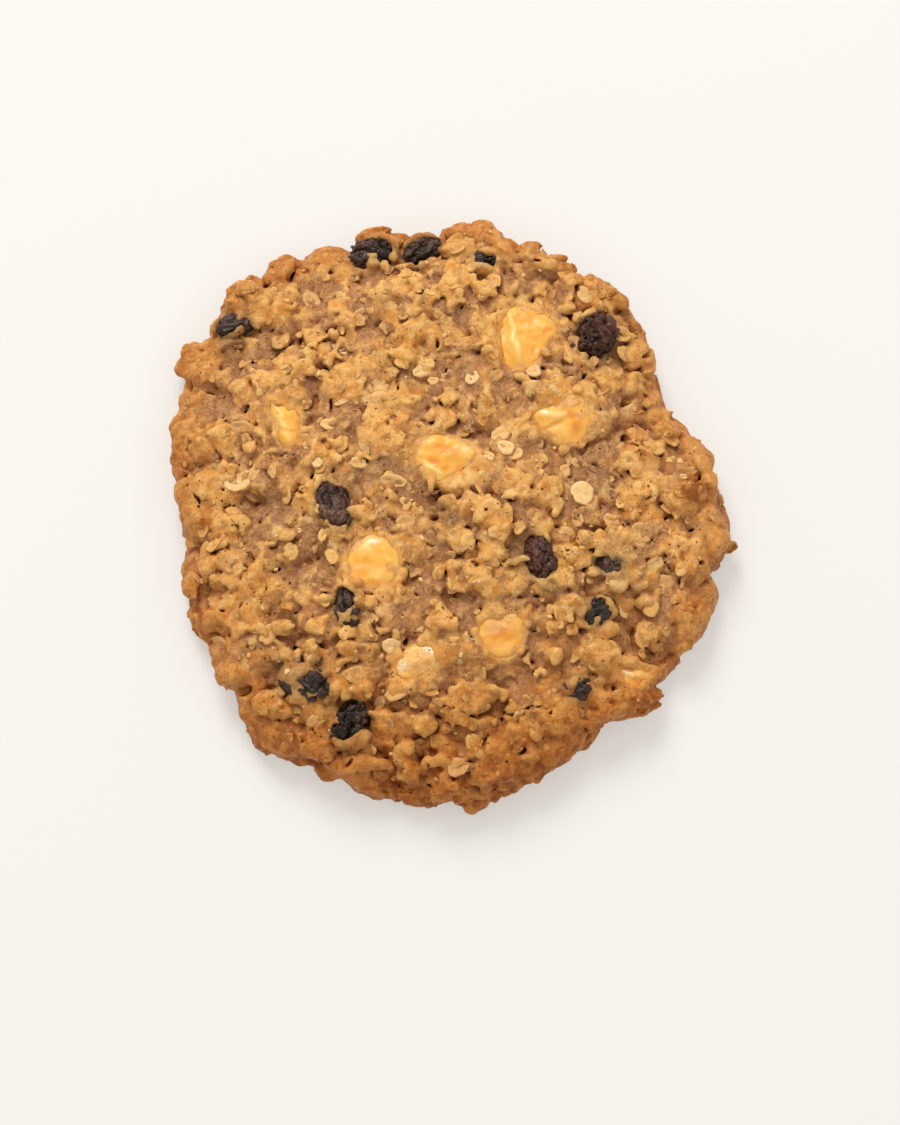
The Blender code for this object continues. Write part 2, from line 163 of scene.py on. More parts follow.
    ("pit", -25.5, 37.5, 1.5, 1, 0, 1.2, TAUPE), ("pit", -28.5, 37, 1, 0.5, 0, 1, TAUPE),
    ("pit", -29.5, 33.5, 1.5, 1, 60, 1.4, TAUPE), ("pit", -32, 32.5, 2, 1, 30, 1.4, TAUPE),
    ("pit", -20.5, 35, 1, 0.5, 50, 1, TAUPE), ("pit", -34.5, 29.5, 1, 1, 0, 1.2, TAUPE),
    ("pit", -40.5, 27.5, 1, 1, 0, 1.2, TAUPE), ("pit", -43, 28.5, 1.5, 1, -30, 1.2, TAUPE),
    ("pit", -29, 23, 2, 1, 70, 1.4, TAUPE), ("pit", -47, 22, 2.5, 2, 0, 2.2, TAUPE),
    ("pit", -42.5, 20, 1.5, 1, 0, 1.6, TAUPE), ("pit", -22.5, 31, 1, 1, 0, 1, TAUPE),
    ("pit", 3, 34.5, 1.5, 1, 0, 1.4, TAUPE), ("pit", 8, 34.5, 1.5, 1, 0, 1.6, TAUPE),
    ("pit", 10.5, 37, 1.5, 1, 0, 1.4, TAUPE), ("pit", 7, 27, 1.5, 1, 0, 1.4, TAUPE),
    ("pit", -2, 28, 2.5, 1, 80, 1.6, TAUPE), ("pit", -9, 20.5, 3.5, 1, 60, 2, TAUPE),
    ("pit", 31.5, 17.5, 2.5, 2, 0, 2.2, TAUPE), ("pit", 30.5, 11, 2, 1.5, 0, 1.8, TAUPE),
    ("pit", 21, 7.5, 1.5, 1, 0, 1.4, TAUPE), ("pit", 26, 6, 1.5, 1, 0, 1.4, TAUPE),
    ("pit", 17, 23, 1, 1, 0, 1.2, TAUPE), ("pit", 24, 23, 1.5, 1, 0, 1.6, TAUPE),
    ("pit", 27, 24.5, 1.5, 1, 0, 1.6, TAUPE), ("pit", -10, -4, 2, 1, -40, 2.2, TAUPE),
    ("pit", -2.5, -4, 1.5, 2, 0, 2.2, TAUPE), ("pit", 2.5, 4, 1, 0.5, 0, 1.2, TAUPE),
    ("pit", -11.5, 2.5, 0.5, 0.5, 0, 1, TAUPE), ("pit", -3.5, -11, 1, 0.5, 0, 1.4, TAUPE),
    ("pit", 4, -12, 1, 1, 0, 1.4, TAUPE), ("pit", -7.5, -26, 1.5, 1.5, 0, 2, TAUPE),
    ("pit", -7.5, -27.5, 1, 1, 0, 1.6, TAUPE), ("pit", -18, -23.5, 1, 1, 0, 1.4, TAUPE),
    ("pit", -25.5, 0.5, 1, 1, 0, 1.2, TAUPE), ("pit", -34, 1, 1, 1, 0, 1.2, TAUPE),
    ("pit", -40, 1.5, 1, 1, 0, 1.2, TAUPE), ("pit", -39, -1, 1, 1, 0, 1.2, TAUPE),
    ("pit", -31, -13, 1.5, 1, 0, 1.8, TAUPE), ("pit", -32, -16, 1, 1, 0, 1.2, TAUPE),
    ("pit", 38, -14.5, 2.5, 1.5, 0, 2.2, TAUPE), ("pit", 38.5, -10, 1.5, 1, 0, 1.6, TAUPE),
    ("pit", 42.5, -5, 1.5, 1, 0, 1.4, TAUPE), ("pit", 38.5, -4, 1.5, 1, 0, 1.4, TAUPE),
    ("pit", 34.5, 0, 2.5, 0.5, 30, 1.4, TAUPE), ("pit", 14.5, -29.5, 1, 1, 0, 1.2, TAUPE),
    ("pit", -36.5, -34.5, 2, 2, 0, 2.6, TAUPE), ("pit", -17.5, -48, 2.5, 1, 70, 1.8, TAUPE),
    ("pit", -4, -50, 1.5, 1, 0, 1.4, TAUPE), ("pit", -3.5, -47.5, 1, 1, 0, 1.2, TAUPE),
    ("pit", -40, 14.5, 1, 1, 0, 1.2, TAUPE),
    ("pit", 35.5, -33.5, 1, 1, 0, 1.2, TAUPE), ("pit", 32, -35, 1, 1, 0, 1.2, TAUPE),
    ("pit", -17.5, -1, 1.5, 1.5, 0, 2.2, TAUPE), ("pit", 15.5, -18, 1.5, 1, 0, 2, TAUPE),
    ("pit", 26.5, -12, 1, 1, 0, 2, TAUPE), ("pit", 30, -13, 1, 1, 0, 1.8, TAUPE),
    ("pit", 29.5, 38, 2, 1.5, 40, 1.8, TAUPE), ("pit", 32, 6.5, 1, 1, 0, 1.6, TAUPE),
    ("pit", 45, -11, 2, 1.5, 0, 1.6, TAUPE), ("pit", 0.5, 15.5, 3, 1, 10, 1.8, TAUPE),
    ("pit", 35.5, 27.5, 4, 1.5, 75, 1.6, TAUPE),
]

# Long creases and cracks of the crust: half width, depth (mm), then places.
CREASES = [
    (0.9, 0.9, [(-2, -38.0), (5, -38.6), (12, -38.0), (19, -36.5)]),
    (0.9, 0.8, [(-10, -42.0), (-5, -43.5), (-1.5, -44.5)]),
    (0.7, 0.7, [(-14, -51.0), (-8, -51.6), (-1.5, -52.0)]),
    (0.7, 0.6, [(12, 44.0), (19, 44.6), (27, 46.0)]),
    (0.7, 0.6, [(14, 41.4), (20, 42.0), (26, 43.2)]),
    (0.5, 1.3, [(-32.5, 8.2), (-30.8, 7.8), (-29, 8.1)]),
    (0.45, 1.6, [(-21.8, -12.2), (-20.6, -14.0), (-19, -15.8)]),
    (0.6, 2.2, [(-33, -32.8), (-31.6, -33.6), (-30.4, -33.2), (-29.2, -34.6), (-28, -35.0)]),
    (0.5, 1.2, [(-21.0, 41.0), (-19.0, 41.8), (-17.0, 41.2)]),
    (0.5, 1.0, [(-38.5, -3.0), (-37.0, -5.0), (-37.4, -7.0)]),
    (0.5, 1.0, [(31.0, 12.0), (33.0, 9.5), (34.2, 7.0)]),
    (0.5, 1.1, [(-5.0, 33.5), (-3.2, 34.6), (-2.8, 36.4)]),
    (0.5, 1.0, [(38.0, -12.0), (39.4, -14.0), (39.0, -16.5)]),
    (0.5, 1.0, [(-12.0, -31.0), (-10.4, -32.2), (-8.8, -32.0)]),
    (0.6, 1.0, [(-46.0, 2.0), (-44.6, 0.0), (-45.0, -2.5)]),
    (0.5, 1.0, [(-24.5, -41.0), (-22.0, -42.0), (-20.6, -43.6)]),
]

# Darker, greyer dough where a raisin lies just under the skin: x, y, reach,
# strength, and how far to the purple side rather than the grey-green one.
FILMS = [
    (-39.0, 29.0, 5.0, 0.75, 0.1), (-0.5, -3.5, 4.2, 0.95, 0.1), (-20.5, 2.6, 3.2, 0.8, 0.9),
    (11.5, -11.0, 3.4, 0.85, 0.1), (29.0, -11.5, 4.6, 0.9, 0.15), (24.0, -19.5, 3.6, 0.7, 0.2),
    (-29.5, -31.0, 5.2, 0.95, 0.1), (-24.5, -30.0, 3.6, 0.7, 0.1), (-21.5, -37.0, 3.6, 0.7, 0.1),
    (22.0, -33.6, 3.8, 0.75, 0.6), (-18.0, -17.5, 3.0, 0.55, 0.5), (-31.2, -13.0, 3.0, 0.5, 0.1),
    (-14.5, 43.4, 3.2, 0.5, 0.3), (-5.0, 44.6, 3.4, 0.6, 0.2), (17.0, -16.5, 2.6, 0.7, 0.1),
    (7.0, 43.0, 2.4, 0.5, 0.2), (-18.5, -44.6, 3.0, 0.6, 0.1), (25.5, 25.5, 3.0, 0.45, 0.9),
    (27.0, 5.5, 6.0, 0.40, 1.0), (3.0, 24.0, 5.0, 0.40, 1.0), (-31.5, -3.5, 6.0, 0.30, 1.0),
    (4.5, -30.5, 5.0, 0.35, 1.0), (-25.0, 20.0, 4.0, 0.40, 1.0), (-4.0, -8.0, 4.0, 0.40, 1.0),
]

# Where a raisin or chip shows through the dough: outlines read off, mm
# from the middle of the piece.
OPENINGS = [
    ("raisin_01", (-4.7, 0.7), (-4.2, 2.6), (-2.9, 3.2), (-1.6, 2.3), (-0.2, 2.2), (1.1, 1.3), (2, 3.2), (2.9,
     2.7), (3.3, 0.6), (3.3, -1.9), (2.1, -1.9), (1, -1.4), (-0.1, -1.4), (-1.2, -1.8), (-1.9, -3), (-2.6,
     -2.8), (-3.8, -1.3)),
    ("raisin_02", (-4.4, -1.7), (-3.4, -0.7), (-2.1, 0.4), (-1, 1), (0.1, 1.2), (1.2, 1.4), (2.3, 1.4), (3.2,
     1.6), (3.3, 0.3), (3.2, -1.2), (2.6, -1.8), (1.2, -1.6), (-0.6, -2.4), (-2.3, -2.2), (-3.5, -2.1)),
    ("raisin_03", (-2.4, -0.4), (-1.5, 0), (-1.5, 0.8), (-0.7, 0.9), (-0, 0.7), (0.9, 0.7), (1.6, 0.9), (1.8,
     0.1), (1.2, -1.4), (0.3, -1.2), (-0.7, -0.6)),
    ("raisin_04", (-3.2, -0.9), (-2.5, -0.1), (-1.8, 1), (-0.9, 2), (0, 1.3), (0.8, 0.7), (1.8, 1.4), (2.1,
     0.3), (2.8, -1.3), (1.9, -1.6), (1.4, -0.6), (0.4, -0.9), (0.1, -1.7), (-1.4, -2), (-2.9, -1.6)),
    ("raisin_05", (-4.7, -0.7), (-3.8, 0.2), (-3.1, 1.6), (-1.9, 3.2), (-1.2, 2.8), (-0.3, 4.1), (0.8, 3.7),
     (1.3, 4.8), (2.4, 4.4), (3.3, 3.7), (4.1, 3.9), (4.2, 2.7), (3.3, 1.5), (3.4, -0.3), (3.6, -1.4), (2.7,
     -1.3), (2.3, -2.3), (2.3, -3.7), (1.3, -3.9), (0.8, -4.5), (0.3, -3.4), (-0.8, -4), (-1.7, -2.9), (-2.8,
     -2.3), (-3.3, -1.2)),
    ("raisin_06", (-3.3, 3.7), (-2.1, 3.9), (-1.4, 3.3), (-0.5, 2.7), (0.4, 2.7), (1.3, 2.2), (2, 0.9), (2.7,
     -0.8), (2.6, -2.4), (2.2, -3.6), (1, -3.9), (-0.6, -3.6), (-1.5, -2.1), (-2, -0.6), (-2.8, 0.8), (-3.5,
     1.7)),
    ("raisin_07", (-2, 3.7), (-0.7, 3.2), (0.2, 3.1), (1, 2.2), (1.9, 1), (2.1, -0.3), (1.5, -1.5), (1.5,
     -2.6), (0.5, -3.5), (-0.6, -4), (-1.5, -3.9), (-1.8, -2.8), (-1.6, -1.9), (-2.5, -1.2), (-2.1, -0.2),
     (-2.5, 0.9), (-2.1, 2.3)),
    ("raisin_08", (-2.2, 2.6), (-1.1, 2.9), (-0.1, 3.3), (0.6, 2.9), (1.1, 1.1), (1.5, -0.1), (0.8, -0.1),
     (0.5, -0.9), (-0.6, -1.6), (-1.7, -0.9), (-2.2, 0.3), (-2.4, 1.6)),
    ("raisin_09", (-2.4, -1.8), (-1.5, -0.7), (-0.8, 0.5), (-0.5, 1.6), (0.6, 2), (1.3, 1.7), (1.6, 0.8),
     (1.3, -0.1), (0.6, -1), (-0.3, -1.4), (-1.2, -2.1)),
    ("raisin_10", (-3.3, -0.3), (-2.2, -0.1), (-1.4, 0.1), (-0.6, -0.6), (0.2, -0.6), (0.8, -1.2), (1.1,
     -1.6), (0.4, -2.1), (-0.1, -1.8), (-1, -2.2), (-1.9, -2.2), (-2.8, -1.5)),
    ("raisin_11", (-7.8, -0.5), (-6.8, 0.1), (-6.2, 0.8), (-5.5, 0.1), (-4.6, -0.4), (-3.9, -1.1), (-2.5,
     -1.4), (-2.3, -2), (-3.8, -2), (-5, -1.5), (-6.4, -0.9)),
    ("raisin_11", (-0.9, -0), (0.1, 0.6), (1.4, 1), (2.2, 0.2), (3.5, -0.6), (2.8, -1.3), (1.7, -1.8), (1,
     -0.9), (-0, -0.6)),
    ("raisin_12", (-1, 4.3), (0.1, 4.3), (1, 3.6), (2.2, 3.2), (3.1, 2.2), (3.4, 1.2), (3.2, -0.5), (3, -1.4),
     (2.3, -1), (1.7, -0.5), (0.6, -0.7), (-0.1, -1.3), (-0.5, -2.2), (-1.3, -2.7), (-2.2, -2), (-2.9, -0.6),
     (-2.2, -0.3), (-1.3, -0.3), (-0.3, 0.2), (-1.5, 0.9), (-2.4, 1.8), (-3.1, 2.8), (-4.3, 3.8), (-4, 4.2),
     (-2.5, 3.6), (-1.5, 3.8)),
    ("raisin_13", (-2.8, 0.7), (-1.4, 0.9), (-0.7, 0.4), (-1.2, 0), (-2.2, 0)),
    ("raisin_13", (0.7, 0.1), (1.4, 0.8), (1.8, 1.5), (2.3, 1.1), (1.6, 0.1), (0.9, -0.6), (0.4, -1.6), (0,
     -1.8), (0.4, -0.6)),
    ("chip_01", (-4.1, 4.7), (-3, 5.6), (-1.7, 6), (1, 5.7), (3.5, 4.3), (5.1, 2.8), (5, 1), (3.8, -0.4),
     (2.7, -1.8), (1.8, -3.5), (0.5, -4.7), (-1.1, -5.7), (-3.1, -5.8), (-4.3, -4.3), (-5, -1.8), (-5.2, 1.4),
     (-4.8, 3.7)),
    ("chip_02", (-5, 0.6), (-4.1, 1.6), (-2.5, 2), (-0.4, 2.6), (1.1, 4), (2.9, 4.8), (4.3, 3.7), (4.8, 1.5),
     (4.7, -1), (3.8, -2.7), (2.4, -4.2), (0.6, -4.8), (-1.9, -3.6), (-3.8, -2.1)),
    ("chip_03", (-5.6, 1.3), (-5.1, 3), (-3.5, 3.7), (-0.9, 4), (1.8, 3.5), (4.1, 2.4), (5.7, 0.9), (5.1,
     -0.5), (3.5, -2), (1.8, -3.3), (-0.9, -4.2), (-3, -3.5), (-4.4, -1.8), (-5.4, -0.2)),
    ("chip_04", (-2.9, 4.3), (-1.8, 4.4), (-0.5, 4.2), (0.5, 3.3), (1.8, 2.4), (2.4, 1), (2.6, -0.9), (1.9,
     -3.1), (1, -4.5), (-0.1, -4.1), (-1, -2.6), (-1.9, -0.3), (-2.7, 2)),
    ("chip_05", (-3.2, 3.5), (-1.7, 4.7), (0.6, 4.7), (2.4, 3.6), (3.8, 1.8), (4.2, -0.8), (3.3, -3.1), (2.1,
     -4), (-0.2, -4.8), (-2.5, -4.4), (-4.2, -3), (-4.6, -0.7), (-4.3, 1.9)),
    ("chip_06", (-3.8, 1.2), (-2.4, 2.2), (-0.4, 1.9), (1.2, 2.9), (2.6, 3.3), (3.9, 2.4), (4.2, 0.6),
     (3.4, -2.5), (1.3, -4.3), (-1.2, -4.3), (-2.9, -2.4), (-4, -0.5)),
    ("chip_07", (-3.1, 1), (-1.5, 1.4), (0.4, 1.1), (2.2, 0.5), (2.6, -0.7), (0.8, -1.5), (-0.7, -2), (-2.1,
     -1.4), (-2.8, -0.2)),
    ("chip_08", (-4.6, -0.4), (-3.4, 0.9), (-1.8, 2.3), (0.3, 3.1), (2, 2.4), (3.2, 1.1), (3.1, -0.5), (1.3,
     -1.9), (-1.1, -2.9), (-3.2, -3.2), (-4.6, -2)),
]

# How far each piece is set down from its solid, and how strongly its juice or
# fat shows in the dough over it; the last value turns the tint purple.
BURIED = {
    "raisin_01": (0.6, 0.5, 0.2), "raisin_02": (0.6, 0.7, 0.4), "raisin_03": (0.7, 0.3, 0.1),
    "raisin_04": (0.6, 0.6, 0.1), "raisin_05": (0.5, 0.35, 1.0), "raisin_06": (0.6, 0.75, 0.8),
    "raisin_07": (0.6, 0.5, 0.6), "raisin_08": (0.8, 0.8, 0.4), "raisin_09": (0.8, 0.8, 0.1),
    "raisin_10": (0.8, 0.85, 0.3), "raisin_11": (0.8, 0.8, 0.1), "raisin_12": (0.9, 0.55, 0.1),
    "raisin_13": (0.9, 0.6, 0.2),
}

# Dough that laps over a piece's edge or rides on it: x, y, length, width,
# height of its top over the crown, turn (degrees), tone.
RIDERS = [
    (-14.1, 50.9, 7.4, 2.7, 1.2, -8, ORANGE), (-9.5, 48.9, 3.2, 3.6, 0.8, 60, ORANGE), (-16.3, 47.8, 0.9, 0.7, 1.7, 0, TAN),
    (-14.2, 45.2, 2.8, 1.1, 1.1, -10, TAN), (-10, 45.5, 1.8, 1.6, 1.1, 20, CREAM), (-14, 43.6, 3, 2.1, 0.9, 10, GOLD),
    (-11.5, 43.3, 1.9, 1.8, 0.6, 0, TAN), (-18.8, 45.4, 2.5, 3.2, 0.8, 60, GOLD), (-4.4, 49.7, 4.2, 1.8, 1.1, 5, ORANGE),
    (-8.1, 49.9, 3.2, 1.8, 0.9, -5, ORANGE), (-0.3, 46.7, 3.5, 3.8, 1.4, 60, GOLD), (0.6, 50.3, 3.5, 2, 1.3, 5, ORANGE),
    (-4.4, 44, 4.6, 1.8, 0.8, -5, TAN), (-8, 43.6, 3.5, 1.6, 0.7, 0, TAN), (10.3, 47.4, 5.6, 3, 1, -15, ORANGE),
    (3.7, 47.5, 2.8, 2.7, 1, 0, GOLD), (6.2, 43, 4.6, 1.2, 0.9, -15, TAN), (-38.5, 37, 5.6, 3.9, 1.3, -20, ORANGE),
    (-34.5, 33.4, 3.2, 2.7, 1.2, 30, GOLD), (-37.4, 31.8, 1.4, 1.4, 0.9, 0, TAUPE), (-39.5, 29.2, 5.3, 2.1, 0.5, 0, TAUPE),
    (27.2, 32.7, 0.9, 0.7, 1.9, 20, TAN), (28.5, 32.6, 0.9, 0.9, 1.9, 0, TAN), (28.1, 29, 1.6, 1.6, 2, 30, ORANGE),
    (25.4, 31.9, 0.9, 0.5, 1.8, 30, ORANGE), (25.3, 34.4, 3.9, 1.4, 1, 20, GOLD), (31.6, 30.4, 2.1, 6.1, 1.2, 80, GOLD),
    (23.1, 33.3, 2.5, 2.1, 0.9, 0, TAN), (24.2, 24.8, 4.6, 1.8, 0.6, -30, TAN), (-23.3, -2.4, 1.4, 2.3, 0.8, 80, CREAM),
    (-23, 3.2, 1.6, 1.4, 0.8, 0, CREAM), (-19.2, -6.5, 2.8, 1.1, 0.6, -20, TAN), (-15.5, -3.3, 2.3, 6.1, 0.8, 85, TAN),
    (-21, 3, 1.8, 1.4, 0.6, 0, TAUPE), (11.8, -12.3, 1.4, 6.4, 1.5, 100, YELLOW), (12.9, -9.4, 1.2, 0.9, 1.7, 0, GOLD),
    (12.4, -6.1, 3.9, 2.1, 0.9, 20, TAN), (19.4, -10.4, 2.5, 4.6, 0.8, 110, TAN), (16.7, -16.2, 4.6, 1.4, 0.8, -25, TAN),
    (-21.9, -18.8, 2.5, 4.6, 0.6, 80, GOLD), (-14.2, -19.6, 3.2, 2.5, 0.6, 0, TAN), (-17.9, -24.8, 3.5, 2.5, 0.7, 0, YELLOW),
    (27.2, -8.9, 5.6, 2.1, 0.9, -5, GOLD), (29.6, -15.4, 3.7, 3.6, 1.5, 0, CREAM), (33.7, -14.9, 2.8, 4.3, 1, 110, GOLD),
    (25.4, -13.4, 2.1, 2.9, 0.6, 100, TAN), (22.8, -20.5, 2.1, 2.5, 0.6, 60, TAN), (28.5, -23.8, 3.2, 2.1, 0.8, 0, GOLD),
    (-28.3, -28.1, 3.5, 2.7, 1.7, 0, GOLD), (-28.1, -30.7, 3.2, 2.7, 1.5, 0, GOLD), (-29.8, -36.2, 7, 5.9, 1.6, -20, GOLD),
    (-25.6, -34.9, 2.8, 2.3, 1.1, 30, CREAM), (-19.6, -34, 4.2, 3.6, 1.2, 40, GOLD), (-24.2, -28.9, 2.8, 2.5, 1.2, 0, GOLD),
    (-26.5, -28.2, 1.8, 2.5, 0.9, 0, TAN), (-15.6, -42.6, 3, 3.6, 2, 90, TAN), (-19.5, -39.5, 2.8, 1.2, 1.2, 0, TAN),
    (-17, -34.4, 2.8, 1.4, 1, 0, TAN), (-12.1, -38.2, 1.8, 4.6, 0.7, 90, TAN), (-20, -42.5, 2.1, 2.5, 0.6, 50, TAUPE),
    (-17, -44.6, 3.5, 1.8, 0.7, 0, TAN), (21.9, -32.8, 2.6, 1.8, 1, -10, GOLD), (17.9, -34.4, 2.5, 2.1, 0.5, 0, TAUPE),
    (25.5, -34.2, 2.5, 2.1, 0.6, 0, GOLD), (21.1, -36, 3.5, 2.1, 0.6, 0, GOLD), (1.9, -7.9, 6, 4.6, 0.8, -10, YELLOW),
    (-1.5, -6.5, 1.8, 2.5, 0.8, 60, TAN), (1, -4.4, 5.3, 2.5, 0.35, -20, TAUPE), (-0.1, -1.3, 2.8, 2.1, 0.7, 0, GOLD),
    (-27, 18.4, 5.6, 3.9, 1.5, -45, ORANGE), (-33.4, 16.4, 3.9, 4.6, 0.8, 80, TAN), (-25.1, 11.9, 2.1, 4.6, 0.5, 100, TAN),
    (-16.5, -15.7, 1.9, 2.9, 0.9, 80, ORANGE), (17.4, 26.7, 1.6, 2.3, 0.8, 60, TAN), (22.5, 29, 1.8, 2.9, 0.7, 80, TAUPE),
    (13.1, 21.4, 3.5, 1.8, 0.7, -20, TAN), (15.2, 23.1, 2.1, 2.5, 0.9, 0, CREAM), (17, 18.8, 5.3, 2.1, 0.8, 10, GOLD),
    (25, 17.5, 1.8, 3.6, 0.6, 90, GOLD), (3.6, -28.5, 4.6, 2.9, 0.7, -20, TAN), (-4.3, -29.7, 5.3, 2.1, 0.9, 0, TAN),
    (-7.7, -33.8, 6, 2.1, 0.9, 5, TAN), (34.5, -35.7, 7.7, 4.6, 0.9, 30, ORANGE), (31.6, -28.9, 4.2, 2.1, 0.9, 0, GOLD),
    (34.9, 8.1, 4.6, 2.1, 1.2, -28, ORANGE), (35.6, 9.4, 3.5, 0.9, 1.6, -28, YELLOW), (33.8, 5.6, 2.5, 2.1, 0.8, 0, ORANGE),
    (32.4, 11.9, 2.5, 1.8, 0.6, 0, ORANGE), (42.7, 0.8, 6, 5.4, 1.4, 0, BROWN), (44.5, 2.2, 2.5, 1.8, 1.7, 20, BROWN),
    (41.2, -0.6, 2.1, 2.1, 1.5, 0, BROWN),
]


# --------------------------------------------------------------------------
# Shape of the loaf
# --------------------------------------------------------------------------
def bump1(d, width):
    t = np.clip(np.abs(d) / (2.0 * width), 0.0, 1.0)
    return (1.0 - t * t) ** 2


def rim_table():
    """Rim radius every half degree, mm."""
    a = np.arange(720) * 0.5
    k = a / 10.0
    i = np.floor(k).astype(int)
    t = k - i
    rim = np.array(RIM)
    p0, p1, p2, p3 = (rim[(i + j) % 36] for j in (-1, 0, 1, 2))
    r = 0.5 * (2 * p1 + (p2 - p0) * t + (2 * p0 - 5 * p1 + 4 * p2 - p3) * t * t
               + (3 * p1 - p0 - 3 * p2 + p3) * t ** 3)
    for direction, width, size in RIM_LOBES:
        d = (a - direction + 180.0) % 360.0 - 180.0
        r += size * bump1(d, width)
    return r


RIM_R = rim_table()


def rim_radius(x, y):
    a = np.degrees(np.arctan2(y, x)) % 360.0 * 2.0
    i = np.floor(a).astype(int) % 720
    t = a - np.floor(a)
    return RIM_R[i] * (1 - t) + RIM_R[(i + 1) % 720] * t


def crown(x, y):
    """Height of the smooth crown, mm."""
    x, y = np.asarray(x, float), np.asarray(y, float)
    s = np.clip(np.hypot(x, y) / rim_radius(x, y) / SHOULDER_AT, 0, 1)
    z = SHOULDER_THICK + (MIDDLE_THICK - SHOULDER_THICK) * (1.0 - s ** CROWN_POWER)
    for sx, sy, width, height in SWELLS:
        z = z + height * bump1(np.hypot(x - sx, y - sy), width)
    return z


# --------------------------------------------------------------------------
# Distance field on a grid
# --------------------------------------------------------------------------
def spline_rows(coords, spacing, m):
    """Cubic B-spline weights from a lattice of m values to coords."""
    u = coords / spacing
    i = np.floor(u).astype(int)
    t = u - i
    w = np.zeros((len(coords), m), np.float32)
    rows = np.arange(len(coords))
    w[rows, i] += (1 - t) ** 3 / 6
    w[rows, i + 1] += (3 * t ** 3 - 6 * t * t + 4) / 6
    w[rows, i + 2] += (-3 * t ** 3 + 3 * t * t + 3 * t + 1) / 6
    w[rows, i + 3] += t ** 3 / 6
    return w


class Field:
    def __init__(self, lo, hi, h):
        self.h, self.lo = h, np.array(lo, float)
        self.n = [int(math.ceil((b - a) / h)) + 1 for a, b in zip(lo, hi)]
        self.ax = [lo[i] + h * np.arange(self.n[i]) for i in range(3)]

    def noise(self, scale, seed, zscale=None):
        """Smooth noise of unit spread, features about `scale` mm."""
        r = np.random.default_rng(seed)
        sc = (scale, scale, zscale or scale)
        rows = []
        for i in range(3):
            c = self.ax[i] - self.lo[i]
            m = int(c[-1] / sc[i]) + 5
            rows.append(spline_rows(c, sc[i], m))
        lat = r.standard_normal([w.shape[1] for w in rows]).astype(np.float32)
        a = np.tensordot(rows[0], lat, (1, 0))
        a = np.matmul(rows[1][None], a)
        a = np.matmul(a, rows[2].T)
        return a / a.std()

    def blur(self, a, sigma):
        for i in range(3):
            c = self.ax[i]
            w = np.exp(-0.5 * ((c[:, None] - c[None, :]) / sigma) ** 2).astype(np.float32)
            w /= w.sum(1, keepdims=True)
            if i == 0:
                a = np.tensordot(w, a, (1, 0))
            elif i == 1:
                a = np.matmul(w[None], a)
            else:
                a = np.matmul(a, w.T)
        return a

    def window(self, centre, reach):
        s = []
        for i in range(3):
            k0 = int(max(0, math.floor((centre[i] - reach - self.lo[i]) / self.h)))
            k1 = int(min(self.n[i], math.ceil((centre[i] + reach - self.lo[i]) / self.h) + 1))
            if k1 <= k0:
                return None
            s.append(slice(k0, k1))
        return tuple(s)

    def sample(self, a, p):
        """Trilinear values of grid a at points p (mm)."""
        q = (p - self.lo) / self.h
        i = np.clip(np.floor(q).astype(int), 0, np.array(self.n) - 2)
        t = np.clip(q - i, 0, 1)
        out = 0
        for dx in (0, 1):
            for dy in (0, 1):
                for dz in (0, 1):
                    w = ((t[:, 0] if dx else 1 - t[:, 0]) * (t[:, 1] if dy else 1 - t[:, 1])
                         * (t[:, 2] if dz else 1 - t[:, 2]))
                    out = out + w * a[i[:, 0] + dx, i[:, 1] + dy, i[:, 2] + dz]
        return out


F = Field((-54.0, -58.5, -0.85), (54.0, 58.0, 20.2), VOXEL)
X, Y, Z = (F.ax[0][:, None, None].astype(np.float32), F.ax[1][None, :, None].astype(np.float32),
           F.ax[2][None, None, :].astype(np.float32))


def loaf():
    """The smooth body, a little smaller than the finished one all round."""
    x, y = np.meshgrid(F.ax[0], F.ax[1], indexing="ij")
    radius = rim_radius(x, y) - 1.15
    r = np.hypot(x, y)
    top = crown(x, y) - 0.05
    # broad rise and fall of the crust
    g = F.noise(8.0, 11)[:, :, 0]
    g2 = F.noise(4.2, 12)[:, :, 0]
    roll = 0.42 * g + 0.22 * g2
    top = top + roll
    edge = SHOULDER_AT * radius
    half = (1 - SHOULDER_AT) * radius
    out = ((r - edge) / half)[:, :, None].astype(np.float32)
    up = ((Z - WIDEST_AT) / (top - WIDEST_AT)[:, :, None]).astype(np.float32)
    down = ((Z - WIDEST_AT) / WIDEST_AT).astype(np.float32)
    v = np.where(Z > WIDEST_AT, up, down)
    e = (np.sqrt(np.maximum(out, 0) ** 2 + v ** 2) - 1.0) * 4.2
    inner = np.maximum((Z - top[:, :, None].astype(np.float32)) * 0.94, -Z)
    d = np.where(out > 0, e, inner).astype(np.float32)
    return d, roll, r / rim_radius(x, y)


F.D, ROLL, SHARE = loaf()
BASE = F.D.copy()
WARP = [0.13 * F.noise(1.9, 31 + i) + 0.07 * F.noise(0.95, 41 + i) for i in range(3)]
BAND = np.nonzero((np.abs(BASE) < 3.0) & (np.broadcast_to(Z, BASE.shape) > 0.4))
BAND_P = [(F.ax[i][BAND[i]] + 1.5 * WARP[i][BAND]).astype(np.float32) for i in range(3)]


